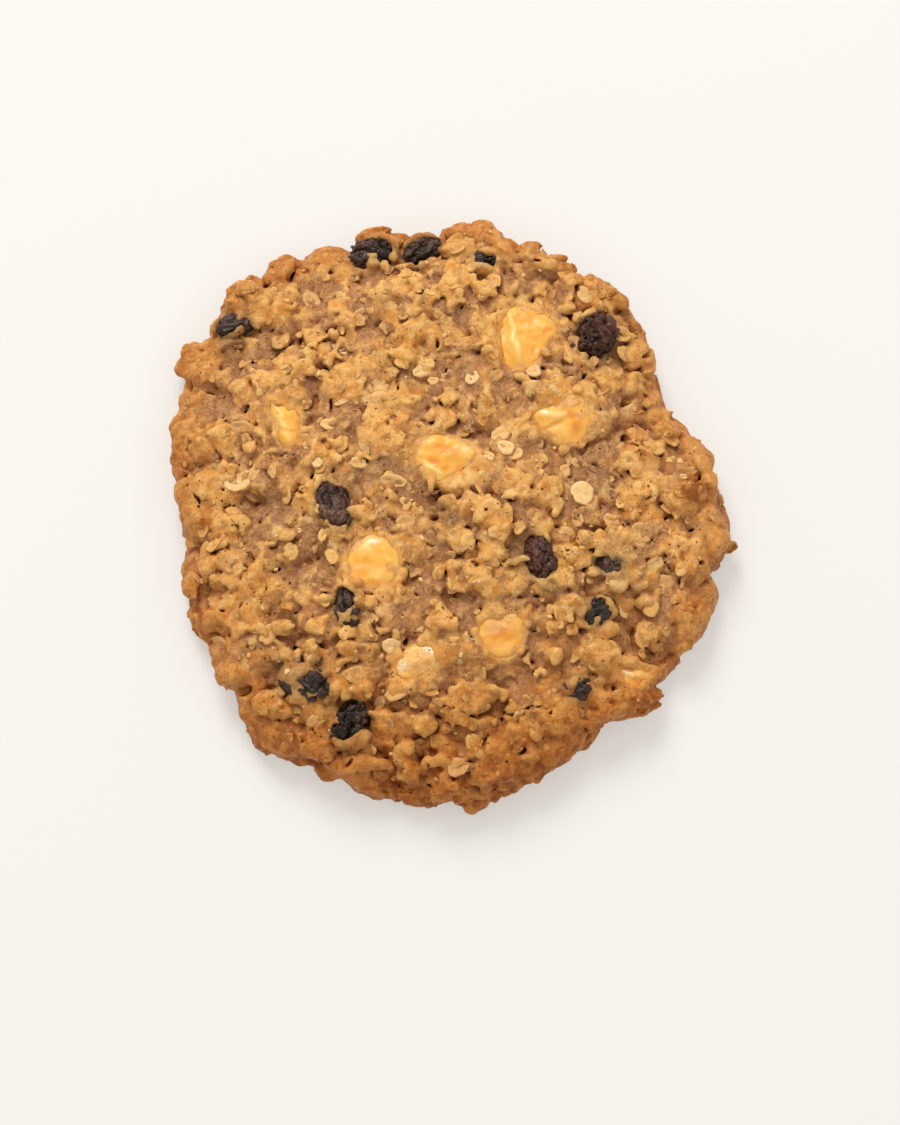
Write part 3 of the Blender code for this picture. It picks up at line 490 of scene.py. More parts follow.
def packed(points, size, seed, offset, tilt, dome, sharp):
    """Relief of closely packed bits: each cell is a tilted, domed facet of its
    own height, and neighbours meet in a crease.  Also gives a value of its
    own to each bit, and how near a crease a point lies."""
    r = np.random.default_rng(seed)
    n = 36
    jit = (0.5 + r.uniform(-0.44, 0.44, (3, n ** 3))).astype(np.float32)
    lift = (offset * r.standard_normal(n ** 3)).clip(-1.8 * offset, 1.8 * offset).astype(np.float32)
    lean = (tilt * size * r.standard_normal((3, n ** 3))).astype(np.float32)
    own = r.standard_normal(n ** 3).astype(np.float32)
    # a different turn of the lattice for each size
    a = 0.7 + seed
    ca, sa = math.cos(a), math.sin(a)
    u = [(ca * points[0] - sa * points[1]) / size + 300, (sa * points[0] + ca * points[1]) / size + 300,
         points[2] / size + 300]
    i = [np.floor(v).astype(np.int32) for v in u]
    t = [v - k for v, k in zip(u, i)]
    total, height, mark, most = (np.zeros(len(t[0]), np.float32) for _ in range(4))
    for dx in (-1, 0, 1):
        ix = (i[0] + dx) % n
        for dy in (-1, 0, 1):
            ixy = ix * n + (i[1] + dy) % n
            for dz in (-1, 0, 1):
                k = ixy * n + (i[2] + dz) % n
                d = [t[0] - jit[0][k] - dx, t[1] - jit[1][k] - dy, t[2] - jit[2][k] - dz]
                dd = d[0] * d[0] + d[1] * d[1] + d[2] * d[2]
                w = np.exp(-sharp * dd)
                total += w
                height += w * (lift[k] + lean[0][k] * d[0] + lean[1][k] * d[1] + lean[2][k] * d[2] - dome * dd)
                mark += w * own[k]
                np.maximum(most, w, out=most)
    return height / total, mark / total, 1 - most / total


def pack_crust():
    share = SHARE[BAND[0], BAND[1]]
    edge = np.clip((share - 0.82) / 0.12, 0, 1).astype(np.float32)
    x, y = F.ax[0][BAND[0]], F.ax[1][BAND[1]]
    still = np.zeros(len(x), np.float32)
    for sx, sy, width, height in SWELLS:
        if height < -0.45:
            still = np.maximum(still, bump1(np.hypot(x - sx, y - sy), width * 0.8))
    still *= 1 - edge
    hl, ml, cl = packed(BAND_P, 7.4, 101, 0.54, 0.10, 2.1, 10.0)
    hm, mm, cm = packed(BAND_P, 3.8, 202, 0.22, 0.13, 0.60, 22.0)
    hs, ms, cs = packed(BAND_P, 2.0, 303, 0.13, 0.15, 0.34, 28.0)
    hx, mx, cx = packed(BAND_P, 1.05, 404, 0.06, 0.09, 0.20, 22.0)
    rise = ((1 + 0.35 * edge) * (hl + 0.50) + (1 - 0.45 * still) * (hm + 0.25)
            + (1 - 0.2 * edge) * (hs + 0.08) + 0.38 * edge + (hx + 0.03) * (1 + 0.6 * still - 0.6 * edge))
    # thin cracks along some of the seams between lumps
    split = np.clip((cm - 0.42) / 0.08, 0, 1) * np.clip((ms + 0.4) / 0.4, 0, 1) * np.clip((ml - 0.1) / 0.3, 0, 1)
    rise -= 0.55 * split * (1 - 0.5 * edge)
    F.D[BAND] -= rise
    gold = 0.48 + 0.16 * ml + 0.20 * mm + 0.10 * ms + 0.50 * (hm - hm.mean()) + 0.28 * (hl - hl.mean()) - 0.38 * still
    F.G[BAND] = np.clip(gold, 0, 1)
    F.P[BAND] = np.clip((ms - 1.75) * 1.6, 0, 0.8) * (1 - edge) + np.clip((mm - 2.0) * 1.4, 0, 0.7) * (1 - edge)
    # darker brown towards the near (-y) rim
    south = np.clip((-y - 12) / 24, 0, 1) * np.clip((share - 0.48) / 0.30, 0, 1)
    F.O[BAND] = (np.clip((mm * -0.6 + ml * 0.4 - 1.15) * 0.9, 0, 0.8)
                 + 0.34 * edge * np.clip(0.5 + 0.5 * ml, 0, 1) + 0.85 * south * np.clip(0.60 + 0.35 * ml + 0.2 * mm, 0, 1))


F.G = np.full(F.D.shape, 0.2, np.float32)
F.P = np.zeros(F.D.shape, np.float32)
F.O = np.zeros(F.D.shape, np.float32)
F.J, F.K, F.L = (np.zeros(F.D.shape, np.float32) for _ in range(3))   # juice, its tint, chip fat
pack_crust()


def turned(normal, spin, tilt_dir, tilt):
    """Axes (rows) with the third along the normal, leaned over by tilt."""
    n = Vector(normal).normalized()
    a = n.orthogonal().normalized()
    b = n.cross(a)
    lean = (a * math.cos(tilt_dir) + b * math.sin(tilt_dir))
    n2 = (n * math.cos(tilt) + lean * math.sin(tilt)).normalized()
    ref = Vector((math.cos(spin), math.sin(spin), 0.0))
    u = (ref - n2 * ref.dot(n2))
    u = u.normalized() if u.length > 1e-3 else n2.orthogonal().normalized()
    return np.array([u, n2.cross(u), n2])


def join(centre, axes, half, tone, k=0.4, cuts=(), wobble=1.0, carve=False):
    """Adds (or takes out) one lump: an ellipsoid with flats, warped."""
    w = F.window(centre, max(half) + 1.0 + k)
    if w is None:
        return
    dx = X[w[0]] - centre[0] + wobble * WARP[0][w]
    dy = Y[:, w[1]] - centre[1] + wobble * WARP[1][w]
    dz = Z[:, :, w[2]] - centre[2] + wobble * WARP[2][w]
    q = [axes[i][0] * dx + axes[i][1] * dy + axes[i][2] * dz for i in range(3)]
    k0 = np.sqrt(sum((q[i] / half[i]) ** 2 for i in range(3)))
    k1 = np.sqrt(sum((q[i] / half[i] ** 2) ** 2 for i in range(3)))
    d = k0 * (k0 - 1.0) / np.maximum(k1, 1e-4)
    for cx, cy, cz, ct in cuts:
        d = np.maximum(d, cx * q[0] + cy * q[1] + cz * q[2] - ct)
    old = F.D[w]
    if carve:
        m = np.clip(0.5 - 0.5 * (old + d) / k, 0, 1)
        F.D[w] = old * (1 - m) - d * m + k * m * (1 - m)
        return
    m = np.clip(0.5 + 0.5 * (old - d) / k, 0, 1)
    F.D[w] = old * (1 - m) + d * m - k * m * (1 - m)
    t = np.clip(0.5 + (old - d) / 0.5, 0, 1)
    for grid, value in ((F.G, tone[0]), (F.P, tone[1]), (F.O, tone[2])):
        grid[w] += (value - grid[w]) * t


def spread(points, spacing, limit, taken=None):
    """Picks points at least `spacing` apart, in the order given."""
    cell = spacing
    table = {}
    kept = []
    near = taken if taken is not None else []
    for p in points:
        key = (int(p[0] // cell), int(p[1] // cell), int(p[2] // cell))
        ok = True
        for i in (-1, 0, 1):
            for j in (-1, 0, 1):
                for l in (-1, 0, 1):
                    for q in table.get((key[0] + i, key[1] + j, key[2] + l), ()):
                        if (p[0] - q[0]) ** 2 + (p[1] - q[1]) ** 2 + (p[2] - q[2]) ** 2 < spacing ** 2:
                            ok = False
                            break
                    if not ok:
                        break
                if not ok:
                    break
            if not ok:
                break
        if ok:
            for q in near:
                if (p[0] - q[0]) ** 2 + (p[1] - q[1]) ** 2 < (q[2] + 0.35 * spacing) ** 2:
                    ok = False
                    break
        if ok:
            table.setdefault(key, []).append(p)
            kept.append(p)
            if len(kept) >= limit:
                break
    return kept


def skin_points():
    """Points all over the loaf's top and side, in random order."""
    ijk = np.argwhere(np.abs(BASE) < 0.55 * VOXEL)
    p = F.lo + F.h * ijk
    p = p[p[:, 2] > 1.0]
    p = p[rng.permutation(len(p))][:60000]
    return p + rng.uniform(-0.4, 0.4, p.shape) * VOXEL


def base_normal(p):
    e = 1.2
    g = []
    for i in range(3):
        d = np.zeros(3)
        d[i] = e
        pp = np.array([p + d, p - d])
        v = F.sample(BASE, pp)
        g.append(v[0] - v[1])
    n = np.array(g)
    return n / max(np.linalg.norm(n), 1e-6)


def top_of(x, y):
    """Height of the loaf's base surface at a place."""
    i = int(round((x - F.lo[0]) / F.h))
    j = int(round((y - F.lo[1]) / F.h))
    col = BASE[min(max(i, 0), F.n[0] - 1), min(max(j, 0), F.n[1] - 1)]
    k = np.nonzero(col < 0)[0]
    if not len(k):
        return 3.0
    k = k[-1]
    if k + 1 >= len(col):
        return F.ax[2][k]
    t = col[k] / (col[k] - col[k + 1])
    return F.ax[2][k] + F.h * t


# --------------------------------------------------------------------------
# Raisins and chips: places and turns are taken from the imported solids
# --------------------------------------------------------------------------
def solid_frame(node):
    """Middle, axes (rows, longest first) and half sizes of a CAD node, mm."""
    co = np.array([v.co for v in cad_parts[node].data.vertices], float) / MM
    lo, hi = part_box(node)
    mid = (np.array(lo) + np.array(hi)) / 2 / MM
    flat = co - co.mean(0)
    w, v = np.linalg.eigh(flat.T @ flat)
    ax = v[:, np.argsort(-w)].T
    z = int(np.argmax(np.abs(ax[:, 2])))
    rest = [i for i in range(3) if i != z]
    n = ax[z] * np.sign(ax[z][2])
    u = ax[rest[0]]
    u = u if u[0] >= 0 else -u
    axes = np.array([u, np.cross(n, u), n])
    q = (co - mid) @ axes.T
    half = (q.max(0) - q.min(0)) / 2
    return mid + axes.T @ ((q.max(0) + q.min(0)) / 2), axes, half


RAISINS = ["raisin_%02d" % i for i in range(1, 14)]
CHIPS = ["chip_%02d" % i for i in range(1, 9)]
SET = {n: solid_frame(n) for n in RAISINS + CHIPS}
clear_of = [(m[0], m[1], 0.5 * (h[0] + h[1]) * 0.95) for m, _, h in SET.values()]


# --------------------------------------------------------------------------
# Oat lumps
# --------------------------------------------------------------------------
def random_cuts(n, half):
    out = []
    for _ in range(n):
        a = rng.uniform(0, 2 * math.pi)
        tip = rng.uniform(-0.15, 0.95)
        c = math.sqrt(1 - tip * tip)
        v = (c * math.cos(a), c * math.sin(a), tip)
        size = math.sqrt(sum((v[i] * half[i]) ** 2 for i in range(3)))
        out.append((*v, size * rng.uniform(0.55, 0.88)))
    return out


def crust_points(limit=90000):
    """Points all over the crust as it stands now, in random order."""
    ijk = np.argwhere(np.abs(F.D) < 0.5 * F.h)
    p = F.lo + F.h * ijk
    p = p[p[:, 2] > 1.0]
    p = p[rng.permutation(len(p))][:limit]
    return p + rng.uniform(-0.4, 0.4, p.shape) * F.h


def smoothness(x, y):
    """0 on the lumpy crust, 1 where the dough lies smoother and finer."""
    a = 0.0
    for sx, sy, width, height in SWELLS:
        if height < -0.45:
            a = max(a, float(bump1(math.hypot(x - sx, y - sy), width * 0.8)))
    return a


def scatter_lumps():
    hand = [(f[1], f[2], 0.40 * (f[3] + f[4]) / 2) for f in FEATURES if f[0] in ("lump", "flake")]
    # spacing, count, half sizes (long, wide, thick), sunk, join, flats
    classes = [
        (7.0, 180, (1.3, 2.6), (1.0, 1.7), (0.40, 0.62), (-0.6, -0.2), 0.18, 3),
    ]
    for rank, (spacing, limit, la, lb, lc, sink, k, flats) in enumerate(classes):
        taken = clear_of + (hand if spacing > 2 else [])
        pts = crust_points()
        for p in spread(pts, spacing, limit, taken):
            share = math.hypot(p[0], p[1]) / float(rim_radius(p[0], p[1]))
            edge = min(max((share - 0.84) / 0.10, 0.0), 1.0)
            calm_here = smoothness(p[0], p[1]) * (1 - edge)
            if rng.random() < 0.55 * calm_here:
                continue
            if rng.random() < 1.2 * edge:
                continue
            n = base_normal(p)
            grow = 1.0 + 0.22 * edge * (rank < 2) - 0.22 * calm_here * (rank < 2)
            half = tuple(grow * rng.uniform(*q) for q in (la, lb, lc))
            axes = turned(n, rng.uniform(0, 6.28), rng.uniform(0, 6.28),
                          rng.uniform(0.15, 0.55))
            i = min(max(int((p[0] - F.lo[0]) / F.h), 0), F.n[0] - 1)
            j = min(max(int((p[1] - F.lo[1]) / F.h), 0), F.n[1] - 1)
            high = ROLL[i, j]
            deep = rng.uniform(*sink)
            c = p + n * (deep + 0.20 * high - 0.25 * calm_here)
            gold = 0.50 + 0.25 * high + 0.35 * deep + rng.normal(0, 0.30) - 0.40 * calm_here
            pale = rng.uniform(0.25, 0.8) if rng.random() < 0.08 * (1 - edge) else 0.0
            toast = rng.normal(-0.30, 0.30) + 0.35 * edge
            join(c, axes, half, (min(max(gold, 0), 1), pale, min(max(toast, 0), 1)),
                 k * (1 + 0.8 * edge), random_cuts(flats if edge < 0.5 else 1, half))


def hand_lumps():
    for kind, x, y, length, width, turn, proud, tone in FEATURES:
        if kind not in ("lump", "flake"):
            continue
        z = top_of(x, y)
        n = base_normal(np.array([x, y, z]))
        thick = 0.30 * min(length, width) + 0.25 if kind == "lump" else 0.42
        # those at the rim stay inside it
        share = (math.hypot(x, y) + 0.35 * length) / float(rim_radius(x, y))
        if share > 0.98:
            x, y = x * 0.98 / share, y * 0.98 / share
            z = top_of(x, y)
            n = base_normal(np.array([x, y, z]))
        half = (length / 2, width / 2, max(0.5, thick))
        lift = 0.65 * proud + 0.25 - 0.62 * half[2] if kind == "lump" else 0.6 * proud
        axes = turned(n, math.radians(turn), rng.uniform(0, 6.28),
                      rng.uniform(0.08, 0.24))
        c = np.array([x, y, z]) + n * lift
        g, p, o = TONES[tone]
        join(c, axes, half, (g, p, o), 0.25, random_cuts(3 if math.hypot(x, y) < 42 else 0, half), 1.6)
        # smaller bits stuck on and round it
        for _ in range(int(2 + length * width * 0.16)):
            a = rng.uniform(0, 6.28)
            rr = rng.uniform(0.35, 1.0)
            q = c + axes[0] * half[0] * rr * math.cos(a) + axes[1] * half[1] * rr * math.sin(a)
            q = q + n * half[2] * math.sqrt(max(0.0, 1 - rr * rr)) * 0.75
            s = rng.uniform(0.35, 0.8)
            join(q, turned(n, rng.uniform(0, 6.28), rng.uniform(0, 6.28), 0.4),
                 (s * 1.3, s, s * 0.75), (np.clip(g + rng.normal(0, 0.15), 0, 1), p * 0.8, o),
                 0.18, random_cuts(1, (s, s, s)))


def outline_distance(points, x, y):
    """Signed distance from places to a closed outline, negative inside."""
    pts = np.array(points, float)
    best = np.full(np.broadcast(x, y).shape, 1e9)
    inside = np.zeros(best.shape, bool)
    for (x0, y0), (x1, y1) in zip(pts, np.roll(pts, -1, 0)):
        ex, ey = x1 - x0, y1 - y0
        t = np.clip(((x - x0) * ex + (y - y0) * ey) / max(ex * ex + ey * ey, 1e-9), 0, 1)
        best = np.minimum(best, np.hypot(x - x0 - t * ex, y - y0 - t * ey))
        cross = ((y0 > y) != (y1 > y)) & (x < (x1 - x0) * (y - y0) / (y1 - y0 + 1e-12) + x0)
        inside ^= cross
    return np.where(inside, -best, best)


def sunk_frame(name):
    """The frame of a piece, set down to where it shows in the dough."""
    mid, axes, half = SET[name]
    return mid - np.array([0, 0, BURIED.get(name, (0.0,))[0]]), axes, half


def surface_top(x, y):
    """Height of the crust's skin at a place, mm."""
    i = int(round((x - F.lo[0]) / F.h))
    j = int(round((y - F.lo[1]) / F.h))
    col = F.D[min(max(i, 0), F.n[0] - 1), min(max(j, 0), F.n[1] - 1)]
    k = np.nonzero(col < 0)[0]
    if not len(k):
        return 3.0
    k = k[-1]
    nxt = col[min(k + 1, len(col) - 1)]
    return F.ax[2][k] + F.h * min(max(col[k] / (col[k] - nxt - 1e-9), 0.0), 1.0)


def ring_plane(name):
    """The lie of the crust round an opening: x, y of its middle, height, slopes."""
    mid = SET[name][0]
    pts = np.array([p for who, *points in OPENINGS if who == name for p in points], float) + mid[:2]
    c = pts.mean(0)
    ring = np.array([c + (p - c) * (1 + 0.9 / max(np.linalg.norm(p - c), 0.5)) for p in pts])
    z = np.array([surface_top(px, py) for px, py in ring])
    z = np.clip(z, np.median(z) - 0.5, np.median(z) + 0.5)
    fit = np.linalg.lstsq(np.c_[np.ones(len(ring)), ring - c], z, rcond=None)[0]
    return c[0], c[1], fit[0], fit[1], fit[2]


PLANES = {}


def open_over(name, x, y, wander):
    """Signed distance to a piece's ragged opening, negative inside."""
    sd = np.full(np.broadcast(x, y).shape, 9.0)
    for who, *points in OPENINGS:
        if who == name:
            sd = np.minimum(sd, outline_distance(points, x, y))
    return sd + wander


def seat_chip(name):
    mid, axes, half = sunk_frame(name)
    PLANES[name] = cx, cy, z0, sx, sy = ring_plane(name)
    w = F.window(mid, float(max(half)) + 3.0)
    x, y = X[w[0]][:, :, 0], Y[:, w[1]][:, :, 0]
    k = int(np.clip((z0 - F.lo[2]) / F.h, 0, F.n[2] - 1))
    sd = open_over(name, x - mid[0], y - mid[1], 0.9 * WARP[0][w[0], w[1], k])[:, :, None].astype(np.float32)
    level = (z0 + sx * (x - cx) + sy * (y - cy))[:, :, None].astype(np.float32)
    flat = Z[:, :, w[2]] - level - 0.05 - 0.5 * WARP[1][w]
    near_ = 0.8 * np.exp(-(np.maximum(sd, 0) / 1.1) ** 2) * np.clip((Z[:, :, w[2]] - level + 3.0) / 1.5, 0, 1)
    F.D[w] = F.D[w] * (1 - near_) + flat * near_
    cut = np.maximum(sd, level - 1.7 - Z[:, :, w[2]])
    m = np.clip(0.5 - 0.5 * (F.D[w] + cut) / 0.10, 0, 1)
    F.D[w] = F.D[w] * (1 - m) - cut * m + 0.10 * m * (1 - m)
    # crumbs of dough overlapping its edge
    pts = np.array([p for who, *points in OPENINGS if who == name for p in points], float) + mid[:2]
    for i in rng.permutation(len(pts))[:9]:
        p, q = pts[i], pts[(i + 1) % len(pts)]
        e = p + (q - p) * rng.uniform(0, 1)
        out_ = (e - (cx, cy)) / max(np.hypot(*(e - (cx, cy))), 0.1)
        a = rng.uniform(0.7, 1.5)
        e = e + out_ * a * rng.uniform(0.25, 0.75)
        z = z0 + sx * (e[0] - cx) + sy * (e[1] - cy)
        half_ = (a * 1.2, a * 0.85, a * 0.45)
        n = base_normal(np.array([e[0], e[1], z]))
        join((e[0], e[1], z - 0.35 * a + 0.12), turned(n, rng.uniform(0, 6.28), rng.uniform(0, 6.28), 0.15), half_,
             (rng.uniform(0.5, 0.95), 0.0, rng.uniform(0.0, 0.3)), 0.15, random_cuts(1, half_), 1.8)
    F.L[w] = np.maximum(F.L[w], np.clip(1.0 - np.maximum(sd, 0) / 1.5, 0, 1)
                        * np.clip((Z[:, :, w[2]] - level + 2.4) / 1.0, 0, 1))


def seat_raisin(name):
    """Draws a skin of dough over a raisin and opens it where the fruit shows."""
    mid, axes, half = sunk_frame(name)
    w = F.window(mid, float(max(half)) + 2.6)
    x, y = X[w[0]][:, :, 0] - mid[0], Y[:, w[1]][:, :, 0] - mid[1]
    k = int(np.clip((mid[2] + half[2] - F.lo[2]) / F.h, 0, F.n[2] - 1))
    sd = open_over(name, x, y, 1.6 * WARP[0][w[0], w[1], k] + 1.4 * WARP[2][w[0], w[1], k] - 0.25)
    # small holes torn in the skin close to the opening
    sd = np.minimum(sd, (0.62 - WARP[1][w[0], w[1], k]) * 3.5 + 0.8 * np.maximum(sd - 1.4, 0))
    sd = sd[:, :, None].astype(np.float32)
    dx = X[w[0]] - mid[0] + 0.8 * WARP[0][w]
    dy = Y[:, w[1]] - mid[1] + 0.8 * WARP[1][w]
    dz = Z[:, :, w[2]] - mid[2] + 0.8 * WARP[2][w]
    q = [axes[i][0] * dx + axes[i][1] * dy + axes[i][2] * dz for i in range(3)]
    k0 = np.sqrt(sum((q[i] / half[i]) ** 2 for i in range(3)))
    k1 = np.sqrt(sum((q[i] / half[i] ** 2) ** 2 for i in range(3)))
    de = k0 * (k0 - 1.0) / np.maximum(k1, 1e-4)
    foot = (np.sqrt((q[0] / (half[0] + 0.1)) ** 2 + (q[1] / (half[1] + 0.1)) ** 2) - 1) * min(half[:2])
    out = np.clip(sd / 1.0, 0, 1)
    wrinkle = 1.7 * (np.abs(WARP[2][w]) - 0.12) * np.clip(2.2 - sd, 0, 1)
    skin_ = np.maximum(de - (0.10 + 0.42 * out) - 2.0 * WARP[1][w] * out - wrinkle, 0.05 - sd)
    m = np.clip(0.5 + 0.5 * (F.D[w] - skin_) / 0.35, 0, 1)
    F.D[w] = F.D[w] * (1 - m) + skin_ * m - 0.35 * m * (1 - m)
    F.G[w] += (0.28 - F.G[w]) * m * np.clip(1.6 - sd, 0, 1)
    cut = np.maximum(sd, np.minimum(de - 0.10, np.maximum(foot, -dz)))
    m = np.clip(0.5 - 0.5 * (F.D[w] + cut) / 0.12, 0, 1)
    F.D[w] = F.D[w] * (1 - m) - cut * m + 0.12 * m * (1 - m)
    near_ = np.clip((1.4 - de) / 0.9, 0, 1) * np.clip(1.35 - np.maximum(sd, 0) / 1.9, 0, 1)
    _, strength, side = BURIED[name]
    F.J[w] = np.maximum(F.J[w], strength * near_)
    F.K[w] = np.where(near_ > 0.05, side, F.K[w])


def seat_pieces():
    """Seats every raisin and chip, then laps lumps of dough back on."""
    for name in CHIPS:
        seat_chip(name)
    for name in RAISINS:
        seat_raisin(name)
    for x, y, length, width, over, turn, tone in RIDERS:
        z = top_of(x, y) + over - 0.35 * min(length, width)
        g, p, o = TONES[tone]
        n = base_normal(np.array([x, y, top_of(x, y)]))
        half = (length / 2, width / 2, 0.32 * min(length, width) + 0.35)
        axes = turned(n, math.radians(turn), rng.uniform(0, 6.28), 0.08)
        join((x, y, z), axes, half, (g, p, o), 0.22, random_cuts(2, half), 1.5)
        for _ in range(int(1 + 0.25 * length * width)):
            a = rng.uniform(0, 6.28)
            s = rng.uniform(0.25, 0.6)
            r = rng.uniform(0.3, 0.9)
            v = axes[0] * half[0] * r * math.cos(a) + axes[1] * half[1] * r * math.sin(a)
            q = np.array([x, y, z]) + v + n * (half[2] * math.sqrt(1 - r * r) - 0.4 * s)
            join(q, turned(n, 0, a, 0.4), (s * 1.4, s, s * 0.8),
                 (np.clip(g + rng.normal(0, 0.15), 0, 1), p, o), 0.15, random_cuts(1, (s, s, s)))


def pits_and_cracks():
    for kind, x, y, length, width, turn, deep, _ in FEATURES:
        if kind != "pit":
            continue
        z = surface_top(x, y)
        n = base_normal(np.array([x, y, top_of(x, y)]))
        axes = turned(n, math.radians(turn), rng.uniform(0, 6.28), 0.25)
        half = (max(0.38, length / 2 * 0.9), max(0.30, width / 2 * 0.8), 0.85 * deep)
        join(np.array([x, y, z]) - n * deep * 0.15, axes, half, None, 0.12, (), 3.0, carve=True)
    for width, deep, path in CREASES:
        pts = []
        for a, b in zip(path[:-1], path[1:]):
            steps = max(2, int(math.hypot(b[0] - a[0], b[1] - a[1]) / 0.6))
            pts += [(a[0] + (b[0] - a[0]) * i / steps, a[1] + (b[1] - a[1]) * i / steps, b, a)
                    for i in range(steps)]
        for i, (x, y, b, a) in enumerate(pts):
            z = top_of(x, y) + 0.35
            s = math.sin(math.pi * (i + 0.7) / (len(pts) + 0.4)) ** 0.5
            axes = turned((0, 0, 1), math.atan2(b[1] - a[1], b[0] - a[0]), 0, 0)
            join((x, y, z), axes, (0.8, width * 0.36 * s, (0.6 * deep + 0.30) * s), None,
                 0.25 if width > 0.65 else 0.10, (), 2.4, carve=True)
    # small pores and short cracks where lumps meet
    pts = crust_points()
    hollow = F.sample(F.blur(np.clip(0.5 - F.D / (1.2 * F.h), 0, 1).astype(np.float32), 0.8), pts)
    order = np.argsort(-(hollow + rng.normal(0, 0.05, len(hollow))))
    for p in spread(pts[order], 3.6, 460, clear_of):
        n = base_normal(p)
        s = rng.uniform(0.16, 0.34)
        axes = turned(n, rng.uniform(0, 6.28), rng.uniform(0, 6.28), 0.6)
        join(p - n * rng.uniform(0.0, 0.3), axes, (s * rng.uniform(1.5, 5.0), s, rng.uniform(0.35, 0.75)),
             None, 0.08, (), 2.0, carve=True)


scatter_lumps()
hand_lumps()
F.D += (0.085 * F.noise(0.75, 61) + 0.075 * F.noise(1.3, 62)).astype(np.float32)
seat_pieces()
pits_and_cracks()

# the underside: flat where it sat on the tray, with shallow blisters
under = 0.10 + 0.16 * np.clip(F.noise(1.6, 71)[:, :, 3] - 0.4, 0, 2) + 0.30 * np.clip(
    F.noise(3.4, 72)[:, :, 3] - 1.0, 0, 1.6) + 0.05 * F.noise(0.8, 73)[:, :, 3]
under = np.clip(under, 0.0, 0.9) - 0.06
F.D = np.maximum(F.D, (under[:, :, None] - Z).astype(np.float32))


# --------------------------------------------------------------------------
# Skin of the field
# --------------------------------------------------------------------------
def skin(d):
    """Quads round the zero level of a grid, one vertex in each cell it crosses."""
    s = d < 0
    count = np.zeros([n - 1 for n in d.shape], np.uint8)
    for i in (0, 1):
        for j in (0, 1):
            for k in (0, 1):
                count += s[i:s.shape[0] - 1 + i, j:s.shape[1] - 1 + j, k:s.shape[2] - 1 + k]
    cells = np.argwhere((count > 0) & (count < 8))
    ci, cj, ck = cells.T
    v = {}
    for i in (0, 1):
        for j in (0, 1):
            for k in (0, 1):
                v[i, j, k] = d[ci + i, cj + j, ck + k].astype(np.float64)
    acc = np.zeros((len(cells), 3))
    num = np.zeros(len(cells))
    for ax in range(3):
        for a in (0, 1):
            for b in (0, 1):
                p0, p1 = [a, b], [a, b]
                p0.insert(ax, 0)
                p1.insert(ax, 1)
                v0, v1 = v[tuple(p0)], v[tuple(p1)]
                hit = (v0 < 0) != (v1 < 0)
                t = v0[hit] / (v0[hit] - v1[hit])
                pos = np.tile(np.array(p0, float), (hit.sum(), 1))
                pos[:, ax] += t
                acc[hit] += pos
                num[hit] += 1
    places = cells + acc / num[:, None]
    vid = np.full(count.shape, -1, np.int32)
    vid[ci, cj, ck] = np.arange(len(cells))
    quads = []
    for ax in range(3):
        lo = [slice(1, -1)] * 3
        hi = [slice(1, -1)] * 3
        lo[ax], hi[ax] = slice(0, -1), slice(1, None)
        s0, s1 = s[tuple(lo)], s[tuple(hi)]
        e = np.argwhere(s0 != s1)
        off = np.array([1, 1, 1])
        off[ax] = 0
        e = e + off
        inside_low = s[e[:, 0], e[:, 1], e[:, 2]]
        b, c = [i for i in range(3) if i != ax]
        db, dc = np.zeros(3, int), np.zeros(3, int)
        db[b], dc[c] = 1, 1
        ring = [e - db - dc, e - dc, e, e - db]
        q = np.stack([vid[r[:, 0], r[:, 1], r[:, 2]] for r in ring], 1)
        flip = inside_low if ax != 1 else ~inside_low
        q[~flip] = q[~flip][:, ::-1]
        quads.append(q)
    return places, np.concatenate(quads)


def mesh_from(name, verts_mm, faces):
    """A mesh object from arrays; faces all have the same number of corners."""
    me = bpy.data.meshes.new(name)
    n = faces.shape[1]
    me.vertices.add(len(verts_mm))
    me.vertices.foreach_set("co", (verts_mm * MM).astype(np.float32).ravel())
    me.loops.add(faces.size)
    me.loops.foreach_set("vertex_index", faces.astype(np.int32).ravel())
    me.polygons.add(len(faces))
    me.polygons.foreach_set("loop_start", np.arange(0, faces.size, n, dtype=np.int32))
    me.update(calc_edges=True)
    me.validate()
    me.shade_smooth()
    obj = bpy.data.objects.new(name, me)
    bpy.context.scene.collection.objects.link(obj)
    return obj


def points_of(me):
    a = np.empty(len(me.vertices) * 3, np.float32)
    me.vertices.foreach_get("co", a)
    return a.reshape(-1, 3).astype(float) / MM


def largest_piece(verts, quads):
    """Drops loose islands, keeping the biggest connected shell."""
    label = np.arange(len(verts))
    edges = np.concatenate([quads[:, [0, 1]], quads[:, [1, 2]], quads[:, [2, 3]]])
    for _ in range(200):
        before = label.copy()
        low = np.minimum(label[edges[:, 0]], label[edges[:, 1]])
        np.minimum.at(label, edges[:, 0], low)
        np.minimum.at(label, edges[:, 1], low)
        label = label[label]
        label = label[label]
        if np.array_equal(before, label):
            break
    root, size = np.unique(label, return_counts=True)
    keep = label == root[np.argmax(size)]
    new = np.cumsum(keep) - 1
    return verts[keep], new[quads[keep[quads].all(1)]]


def make_dough():
    places, quads = skin(F.D)
    verts = F.lo + F.h * places
    verts, quads = largest_piece(verts, quads)
    verts[:, 2] = np.maximum(verts[:, 2], 0.0)
    obj = mesh_from("dough", verts, quads)
    tris = 2 * len(quads)
    if tris > DOUGH_TRIANGLES:
        mod = obj.modifiers.new("thin", "DECIMATE")
        mod.decimate_type = "COLLAPSE"
        mod.ratio = DOUGH_TRIANGLES / tris
        mod.use_collapse_triangulate = True
        dg = bpy.context.evaluated_depsgraph_get()
        thin = bpy.data.meshes.new_from_object(obj.evaluated_get(dg))
        obj.modifiers.clear()
        old = obj.data
        obj.data = thin
        bpy.data.meshes.remove(old)
        thin.name = "dough"
    obj.data.shade_smooth()
    return obj


